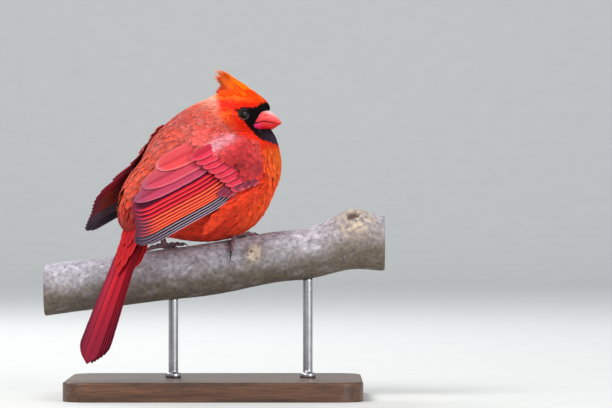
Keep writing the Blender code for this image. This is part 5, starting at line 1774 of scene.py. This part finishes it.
@dataclass
class Branch:
    """The cut length of branch: a bent, swelling round with a knot, bark relief and sawn ends."""

    half_length: float = 106 * MM
    radius: float = 16 * MM
    height: float = 80.3 * MM
    rows: int = 330
    columns: int = 150
    rings: int = 13

    def axis(self, x: Array) -> tuple[Array, Array, Array]:
        """Centre's y and z and the radius along x: a slow sine, a slope with two bell-shaped
        swellings, and a radius that grows with the second.
        """
        swell = 2.3 * MM * bell(x, 40 * MM, 22 * MM)
        knot = 7.2 * MM * bell(x, 86 * MM, 20 * MM)
        radius = self.radius + 0.3 * MM * np.cos(x / (19 * MM)) + 0.36 * knot
        return 1.5 * MM * np.sin(x / (60 * MM)), self.height + 0.125 * x + swell + knot, radius

    def point(self, x: Array, turn: Array, clearance: Array | float = 0.0) -> Array:
        """Points over the bark; turn 0 is the top and a quarter turn faces the viewer."""
        y, z, radius = self.axis(x)
        reach = radius + clearance
        return np.stack([x + 0 * turn, y - reach * np.sin(turn), z + reach * np.cos(turn)], axis=-1)

    def outward(self, place: Array) -> Array:
        """Direction straight out of the branch at a place."""
        y, z, _ = self.axis(place[0])
        return unit(np.array([0.0, place[1] - y, place[2] - z]))

    def scar(self, x: Array, turn: Array, where: tuple[float, float], size: float) -> tuple[Array, Array]:
        """Distance in sizes from a scar's centre, and the angle round it."""
        along = (x - where[0] * MM) / (size * MM)
        around = (turn - radians(where[1])) * self.radius / (size * MM)
        return np.hypot(along, around), np.arctan2(around, along)

    def drawn(self, x: Array, turn: Array, stretch: float, size: float, seed: float) -> Array:
        """Mottling of a size in mm over the bark, drawn out along it where stretch is under one."""
        return ripple(self.point(x, turn) * [stretch, 1, 1], size * MM, seed)

    def crackle(self, x: Array, turn: Array) -> Array:
        """Fine crackle of the bark: a small mottling broken up by a broader one."""
        return self.drawn(x, turn, 0.6, 2.6, 1.0) * self.drawn(x, turn, 1, 5.5, 4.0)

    def relief(self, x: Array, turn: Array) -> tuple[Array, Array, Array]:
        """Height of the bark over its smooth round, with masks of rough bark and of hollows.

        Slow ripples, a fine crackle near the knot, a raised ring round a hollow at each scar that
        falls off as a bell, and shallow lengthwise dents.
        """
        height = 0.35 * MM * np.sin(3 * turn + x / (14 * MM)) * np.sin(x / (23 * MM) + 1)
        rough, hollow = np.zeros(x.shape), np.zeros(x.shape)
        for where, size, rise, depth in SCARS:
            far, angle = self.scar(x, turn, where, size)
            far = far * (1 + 0.12 * np.sin(3 * angle + where[0]) + 0.06 * np.sin(7 * angle))
            inside = smooth(0.85, 0.35, far)
            height = height + (rise * (bell(far, 1.0, 0.32) + bell(far, 1.75, 0.2) * 0.5) - depth * inside) * MM
            rough = np.maximum(rough, smooth(3.2, 1.2, far))
            hollow = np.maximum(hollow, inside)
        near_knot = bell(x, 90 * MM, 20 * MM) * smooth(-0.3, 0.7, np.sin(turn - 0.15))
        rough = np.maximum(rough, near_knot)
        height = height + self.crackle(x, turn) * (0.05 + 0.55 * rough) * MM
        return height + 0.10 * MM * self.drawn(x, turn, 0.25, 3.0, 7.0), rough, hollow

    def tint(self, x: Array, turn: Array, rough: Array, hollow: Array) -> Array:
        """Silvery lilac-grey above as painted light, olive-brown below, with dark specks and cracks, a pale lichen spot
        with two pits, ochre round the knot and painted shade in the hollows.
        """

        def mottle(low: float, high: float, stretch: float, size: float, seed: float) -> Array:
            """A mask that opens between two levels of the drawn-out mottling."""
            return smooth(low, high, self.drawn(x, turn, stretch, size, seed))

        place = self.point(x, turn)
        # painted light: the top of the round, which faces the lamps, is painted paler and greyer
        top = smooth(-0.55, 0.75, np.cos(turn) + 0.25 * self.drawn(x, turn, 0.4, 9, 2.0))
        speck = smooth(0.58, 0.8, ripple(place * [1.7, 0.8, 0.8], 1.5 * MM, 3.0)) * mottle(-0.2, 0.5, 1, 12, 6.0)
        crack = smooth(-0.25, -0.6, self.crackle(x, turn)) * (0.15 + 0.85 * rough)
        far, angle = self.scar(x, turn, (24.5, 70.0), 5.2)
        lichen = smooth(1.1, 0.6, far * (1 + 0.14 * np.sin(2 * angle + 1) + 0.4 * ripple(place, 1.2 * MM, 6.0)))
        pits = [((64, 44, 34), 0.9 * lichen * smooth(1.2, 0.5, self.scar(x, turn, pit, 1.2)[0]))
                for pit in ((22.8, 64.0), (26.4, 84.0))]
        ochre = smooth(1.1, 0.4, self.scar(x, turn, (88.0, 42.0), 15.0)[0]) * mottle(-0.5, 0.5, 0.5, 2.4, 5.0)
        return layered(
            (102, 93, 82), ((172, 168, 178), top), ((150, 140, 142), 0.6 * mottle(0.1, 0.8, 0.5, 6, 5.0)),
            ((128, 112, 92), 0.5 * mottle(0.2, 0.9, 0.7, 4, 8.0) * (1 - top)),
            ((96, 88, 84), 0.5 * mottle(0.15, 0.75, 0.8, 2.2, 9.0)),
            ((216, 208, 214), 0.5 * mottle(0.2, 0.8, 0.6, 3.4, 11.0) * top), ((58, 48, 48), 0.75 * speck),
            ((116, 100, 84), 0.55 * rough), ((44, 36, 32), 0.8 * crack), ((206, 188, 166), 0.75 * lichen), *pits,
            # the last colour on the next line is painted shade in the scars' hollows
            ((212, 190, 162), 0.6 * ochre), ((84, 60, 46), 0.9 * smooth(0.15, 0.9, hollow * (1 - lichen))),
        )

    def build(self, bark: Material, cut: Material) -> Piece:
        """Bark over the whole round, closed by two flat sawn ends with growth rings."""
        xs, turns = np.linspace(-self.half_length, self.half_length, self.rows), circle(self.columns)
        x, turn = np.meshgrid(xs, turns, indexing="ij")
        height, rough, hollow = self.relief(x, turn)
        ends = smooth(0, 1.2, (self.half_length - np.abs(x)) / MM)
        side = self.point(x, turn, height - 0.5 * MM * (1 - ends))
        caps, woods, poles = [], [], []
        for row in (0, -1):
            y, z, radius = self.axis(xs[row])
            poles.append([xs[row], y, z])
            share = np.linspace(1, 0, self.rings + 2)[1:-1, None, None]
            caps.append(poles[-1] + (side[row][None] - poles[-1]) * share)
            far = share[..., 0] * radius / MM * (1 + 0.05 * np.sin(turns * 2 + 1) + 0.02 * np.sin(turns * 5))
            woods.append(layered((196, 160, 118), ((150, 112, 76), 0.5 + 0.5 * np.sin(far * 4.2))))
        grid = np.concatenate([caps[0][::-1], side, caps[1]])
        tints = np.concatenate([woods[0][::-1], self.tint(x, turn, rough, hollow), woods[1]])
        colours = np.concatenate([tints.reshape(-1, 3), np.tile(paint((120, 88, 60)), (2, 1))])
        rows = len(grid)
        faces = ball_faces(rows, self.columns)
        band = np.minimum(faces.min(axis=1) // self.columns, rows)
        sawn = (band < self.rings) | (band >= rows - self.rings - 1) | (faces.max(axis=1) >= rows * self.columns)
        points = np.concatenate([grid.reshape(-1, 3), poles])
        return new_piece("branch", points, faces, Dress("bark", (bark, cut), ("perch",)), colours, finish_of_face=sawn)


BRANCH = Branch()


# ---- legs ----

SCALE_LENGTH = 1.15 * MM


def round_path(path: Array, radii: Array, sides: int, up: Sequence[float], scutes: float = 0.0) -> tuple[Array, Array]:
    """Points and faces of a round carried along a path, closed at both ends by points.

    Args:
        path: its centre line.
        radii: its radius at each place.
        sides: how many sides.
        up: direction that starts the first side.
        scutes: depth of the overlapping scales over its upper half, as a share of the radius.

    Returns:
        Points and triangles.
    """
    along = unit(np.gradient(path, axis=0))
    across = unit(np.cross(along, np.asarray(up, float)))
    over = np.cross(across, along)
    turn = circle(sides)[None, :]
    travelled = np.linalg.norm(np.diff(path, axis=0, prepend=path[:1]), axis=1).cumsum()[:, None]
    scale = (travelled / SCALE_LENGTH) % 1.0
    reach = radii[:, None] * (1 + scutes * scale * smooth(-0.1, 0.6, np.sin(turn)))
    around = np.cos(turn)[..., None] * across[:, None] + np.sin(turn)[..., None] * over[:, None]
    ring = path[:, None] + reach[..., None] * around
    return np.concatenate([ring.reshape(-1, 3), path[:1], path[-1:]]), ball_faces(len(path), sides)


# Toes: start and end along the branch from the foot in mm, start and end turn in degrees, claw, thickness
TOES = {
    Side.RIGHT: (((1, 12.5), (-1, -22), 5.5, 1.0), ((1, 12.0), (-3, -58), 6.0, 1.05),
                 ((0, 4.5), (-3, -48), 5.0, 0.95), ((0, -2.0), (3, 58), 8.5, 1.1)),
    Side.LEFT: (((0, 3.5), (-3, -52), 5.5, 1.0), ((1, 11.5), (-3, -58), 6.0, 1.05),
                ((1, 11.5), (0, -12), 5.0, 0.95), ((0, -11.0), (1, 16), 8.0, 1.1)),
}
LEG_TOPS = {Side.RIGHT: (9.0, 12.0, -30.0), Side.LEFT: (-28.0, -13.0, -26.0)}
FOOT_PLACES = {Side.RIGHT: 12.5 * MM, Side.LEFT: -31.5 * MM}


@dataclass(frozen=True)
class Leg:
    """A scaled tarsus with four toes that grip the branch."""

    side: Side
    tarsus_radius: float = 1.5 * MM
    toe_radius: float = 1.4 * MM
    ball_radius: float = 1.95 * MM
    ball_height: float = 2.2 * MM
    clearance: float = 0.7 * MM
    sides: int = 18

    def toe(self, span: tuple, turns: tuple, claw: float, thick: float) -> tuple[Array, Array, Array]:
        """One toe and its claw along the bark: pads swell as a cosine, the claw tapers and arches
        as a sine over its base.

        Returns:
            Path, radii and how far each place is along the claw.
        """
        share = np.linspace(0, 1, 40)
        xs = FOOT_PLACES[self.side] + (span[0] + (span[1] - span[0]) * share) * MM
        turn = np.radians(turns[0] + (turns[1] - turns[0]) * share)
        radii = self.toe_radius * thick * (1 + 0.12 * np.cos(share * 6 * pi) - 0.22 * share)
        path = BRANCH.point(xs, turn, radii + self.clearance + 0.45 * MM * np.sin(pi * share))
        run_x, run_turn = xs[-1] - xs[0], (turn[-1] - turn[0]) * BRANCH.radius
        step = claw * MM * 0.9 / (abs(run_x) + abs(run_turn))
        tip = np.linspace(0, 1, 22)[1:]
        claw_radii = 0.74 * MM * thick * (1 - 0.78 * tip**0.9)
        arch = 1.3 * MM * np.sin(pi * np.minimum(tip * 0.9 + 0.1, 1)) * (1 - tip)
        nail = BRANCH.point(xs[-1] + run_x * step * tip, turn[-1] + run_turn * step / BRANCH.radius * tip,
                            claw_radii + self.clearance + arch)
        return np.concatenate([path, nail]), np.concatenate([radii, claw_radii]), np.concatenate([0 * share, tip])

    def build(self, finish: Material) -> Piece:
        """Tarsus, toes and claws, then the ball of the foot, as one piece."""
        foot = BRANCH.point(np.array([FOOT_PLACES[self.side]]), np.array([0.0]), self.ball_height)[0]
        share, lump = np.linspace(0, 1, 60), np.linspace(-1, 1, 15)
        shank = foot + (TRUNK.place(LEG_TOPS[self.side]) - foot) * share[:, None]
        girth = self.tarsus_radius * (1 + 0.35 * (1 - share) ** 3 + 0.5 * smooth(0.6, 1, share))
        parts = [(shank, girth, 0 * share, (0, -1, 0.1))]
        for toe in TOES[self.side]:
            path, radii, nail = self.toe(*toe)
            parts.append((path, radii, nail, BRANCH.outward(path[len(path) // 2])))
        sole = foot + np.outer(lump * 1.9 * MM, (1, 0, 0.12))
        parts.append((sole, self.ball_radius * np.sqrt(1.04 - lump**2), 0 * lump, (0, 0, 1)))
        points, faces, tints, start = [], [], [], 0
        for path, radii, nail, up in parts:
            ring, solid = round_path(path, radii, self.sides, up, 0.10)
            points.append(ring)
            faces.append(solid + start)
            start += len(ring)
            nails = np.concatenate([np.repeat(nail, self.sides), nail[:1], nail[-1:]])
            travelled = np.linalg.norm(np.diff(path, axis=0, prepend=path[:1]), axis=1).cumsum()
            edge = np.concatenate([np.repeat((travelled / SCALE_LENGTH) % 1.0, self.sides), [0, 0]])
            tints.append(layered(
                (112, 78, 86), ((70, 46, 54), smooth(0.35, 0.0, edge)), ((150, 116, 122), 0.4 * smooth(0.7, 1.0, edge)),
                ((44, 34, 38), smooth(0.0, 0.12, nails))))
        name = f"leg_{self.side.label}"
        dress = Dress("leg", finish, (name,))
        return new_piece(f"{name}_scaled", np.concatenate(points), np.concatenate(faces), dress, np.concatenate(tints))


# ---- stand ----


@dataclass(frozen=True)
class Stand:
    """The display stand: a turned-edge wooden base, and two rods with small ferrules."""

    length: float = 184 * MM
    depth: float = 122 * MM
    height: float = 12 * MM
    corner: float = 16 * MM
    ease: float = 1.6 * MM
    foot: float = 0.5 * MM
    rod_radius: float = 3 * MM
    rods: tuple = (("left", -26 * MM), ("right", 58 * MM))

    def base(self, finish: Material) -> Piece:
        """A slab whose outline is a rectangle with quarter-round corners, drawn in level by level
        along a rounded edge, and closed flat above and below.
        """
        half = np.array([self.length, self.depth]) / 2 - self.corner
        angle, turn = np.linspace(0, pi / 2, 13), np.linspace(0, pi / 2, 7)
        signs = np.repeat([(1, 1), (-1, 1), (-1, -1), (1, -1)], len(angle), axis=0)
        angle = np.tile(angle, 4) + np.repeat(np.arange(4) * pi / 2, len(angle))
        corners, outward = signs * half, np.column_stack([np.cos(angle), np.sin(angle)])
        heights = [0.0, self.foot, *(self.height - self.ease + self.ease * np.sin(turn)), self.height, self.height]
        insets = [self.foot, 0.0, *(self.ease * (1 - np.cos(turn))), 6 * MM, 14 * MM]
        rings = [np.column_stack([corners + outward * (self.corner - inset), np.full(len(angle), height)])
                 for height, inset in zip(heights, insets)]
        points = np.concatenate(rings + [[[0, 0, 0], [0, 0, self.height]]])
        dress = Dress("stand_wood", finish, ("stand_base",))
        return new_piece("base_slab", points, ball_faces(len(rings), len(angle)), dress, flat=True)

    def rod(self, name: str, x: float, finish: Material) -> Piece:
        """One rod from the base into the branch's underside, with an eased ferrule at its foot."""
        _, z, radius = BRANCH.axis(x)
        top = z - radius + 1.0 * MM
        low = self.height + 0.02 * MM
        ferrule = low + np.array([0.0, 0.3, 2.6, 3.1, 3.2]) * MM
        levels = np.concatenate([ferrule, np.linspace(ferrule[-1], top, 30)[1:]])
        widths = np.concatenate([np.array([4.6, 5.0, 5.0, 4.4, 3.0]) * MM, np.full(29, self.rod_radius)])
        path = np.column_stack([np.full(len(levels), x), np.zeros(len(levels)), levels])
        points, faces = round_path(path, widths, 40, (0, 1, 0))
        return new_piece(f"rod_{name}", points, faces, Dress("stand_steel", finish, (f"stand_rod_{name}",)))

    def build(self, wood: Material, steel: Material) -> None:
        """The base, then both rods."""
        self.base(wood)
        for name, x in self.rods:
            self.rod(name, x, steel)


# ---- floor, lights and camera ----


class Studio:
    """A plain pale floor, soft light and the camera of the photograph."""

    # Place, size and power in watts of each light, its colour and what it faces
    lights = {
        "key": ((-0.9, -0.9, 1.5), 0.9, 26.0, (1.0, 0.98, 0.95), (0.0, 0.0, 0.13)),
        "fill": ((1.2, -1.3, 0.65), 1.0, 20.0, (1.0, 0.98, 0.96), (0.0, 0.0, 0.13)),
        "sweep": ((0.0, 1.5, 2.4), 1.5, 20.0, (0.97, 0.99, 1.0), (0.0, 3.6, 0.3)),
        "rim": ((-0.5, 1.1, 1.2), 0.8, 12.0, (1.0, 1.0, 1.0), (0.0, 0.0, 0.13)),
    }
    front, back, sweep_radius, top, half_width = -3.4, 3.0, 0.9, 4.0, 4.0

    def put(self, name: str, data: bpy.types.ID) -> Piece:
        """An object that holds some data, linked to the scene."""
        made = bpy.data.objects.new(name, data)
        bpy.context.scene.collection.objects.link(made)
        return made

    def floor(self) -> None:
        """A large pale sheet that rises behind in a soft sweep: a quarter round, then a wall."""
        turn = np.linspace(0, 1, 40) * pi / 2
        wall = self.back + self.sweep_radius
        reach = np.concatenate([[self.front], self.back + self.sweep_radius * np.sin(turn), [wall]])
        rise = np.concatenate([[0.0], self.sweep_radius * (1 - np.cos(turn)), [self.top]])
        sides = np.array([-self.half_width, self.half_width])
        grid = np.broadcast_arrays(sides, reach[:, None], rise[:, None])
        index = np.arange(len(reach) * 2).reshape(-1, 2)
        quads = np.stack([index[:-1, 0], index[:-1, 1], index[1:, 1], index[1:, 0]], axis=1)
        mesh = bpy.data.meshes.new("floor")
        mesh.from_pydata(np.stack(grid, axis=-1).reshape(-1, 3).tolist(), [], quads.tolist())
        material = bpy.data.materials.new("floor_paper")
        material.use_nodes = True
        shader, sketch = material.node_tree.nodes["Principled BSDF"], Sketch(material.node_tree)
        grain = sketch.noise(sketch.add("TexCoord").outputs["Object"], 40.0, 2)
        sketch.feed(shader.inputs["Base Color"], sketch.blend(grain, paint((206, 207, 205)), paint((214, 214, 211))))
        sketch.feed(shader.inputs["Roughness"], 0.9)
        mesh.materials.append(material)
        self.put("floor", mesh)

    def light(self, name: str) -> None:
        """One square soft light that faces its target."""
        place, size, power, colour, target = self.lights[name]
        data = bpy.data.lights.new(name, "AREA")
        data.shape, data.size, data.energy, data.color = "SQUARE", size, power, colour
        back = -unit(np.array(target) - np.array(place))
        right = unit(np.cross((0, 0, 1), back))
        turn = np.eye(4)
        turn[:3] = np.column_stack([right, np.cross(back, right), back, place])
        self.put(name, data).matrix_world = Matrix(turn.tolist())

    def sky(self) -> None:
        """An even pale sky."""
        world = bpy.data.worlds.new("sky")
        world.use_nodes = True
        ground = world.node_tree.nodes["Background"]
        ground.inputs["Color"].default_value = (0.86, 0.92, 1.0, 1)
        ground.inputs["Strength"].default_value = 0.55
        bpy.context.scene.world = world

    def camera(self) -> None:
        """A long lens at the bird's height, looking along +Y with the photograph's framing."""
        data = bpy.data.cameras.new("camera")
        data.lens, data.sensor_width, data.clip_start, data.clip_end = 200, 36, 0.1, 20
        made = self.put("camera", data)
        made.location = (56.9 * MM, -2.125, 120.6 * MM)
        made.rotation_euler = (pi / 2, 0, 0)
        bpy.context.scene.camera = made

    def build(self) -> None:
        """Floor, sky, lights and camera."""
        self.floor()
        self.sky()
        for name in self.lights:
            self.light(name)
        self.camera()


def clear_startup() -> None:
    """Removes the lights and cameras of the startup scene."""
    for found in list(bpy.data.objects):
        if found.type in {"LIGHT", "CAMERA"}:
            bpy.data.objects.remove(found)


def main() -> None:
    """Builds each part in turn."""
    logging.basicConfig(level=logging.INFO, format="%(name)s: %(message)s")
    bpy.context.scene.view_settings.view_transform = "Standard"
    clear_startup()
    feathers = TuftFinish("body_feathers", roughness=0.85, specular=0.07, relief=0.35).made()
    under = TuftFinish("skin", roughness=0.9, sheen=0.1).made()
    vanes = VaneFinish("wing_vanes", roughness=0.75, specular=0.08, relief=0.45).made()
    horn = SkinFinish("bill_horn", roughness=0.42, coat=0.06, relief=0.12, blotch=0.08, specular=0.3).made()
    lids = SkinFinish("lid_skin", specular=0.25).made()
    eyes = SkinFinish("eye", roughness=0.06, coat=0.05, relief=0.0, blotch=0.05, specular=0.3).made()
    scales = SkinFinish("leg_scales", roughness=0.5, blotch=0.2).made()
    bark = SkinFinish("bark", roughness=0.85, relief=0.7, relief_depth=0.3 * MM, blotch=0.34, size=2.6,
                      fine_size=0.7).made()
    sawn = SkinFinish("sawn_wood", roughness=0.8, relief=0.5, blotch=0.15, size=1.5, fine_size=0.4).made()
    wood = WoodFinish("walnut", roughness=0.42, coat=0.1, relief=0.25, size=5.0, stretch=0.07, fine_size=0.9).made()
    steel = SteelFinish("brushed_steel", roughness=0.34, relief=0.15, metal=1.0, size=6.0, fine_size=0.5).made()
    wings = [Wing(side) for side in Side]
    skin = Skin()
    skin.build(under)
    Coat(skin, lambda points: np.maximum(*(wing.covering(points) for wing in wings))).build(feathers)
    for wing in wings:
        wing.build(vanes, feathers)
    Tail().build(vanes)
    Crest().build(feathers)
    Bill().build(horn)
    for side in Side:
        Eye(side).eyeball(eyes)
        Eye(side).lids(lids)
    for side in Side:
        Leg(side).build(scales)
    BRANCH.build(bark, sawn)
    Stand().build(wood, steel)
    Studio().build()


if __name__ == "__main__":
    main()
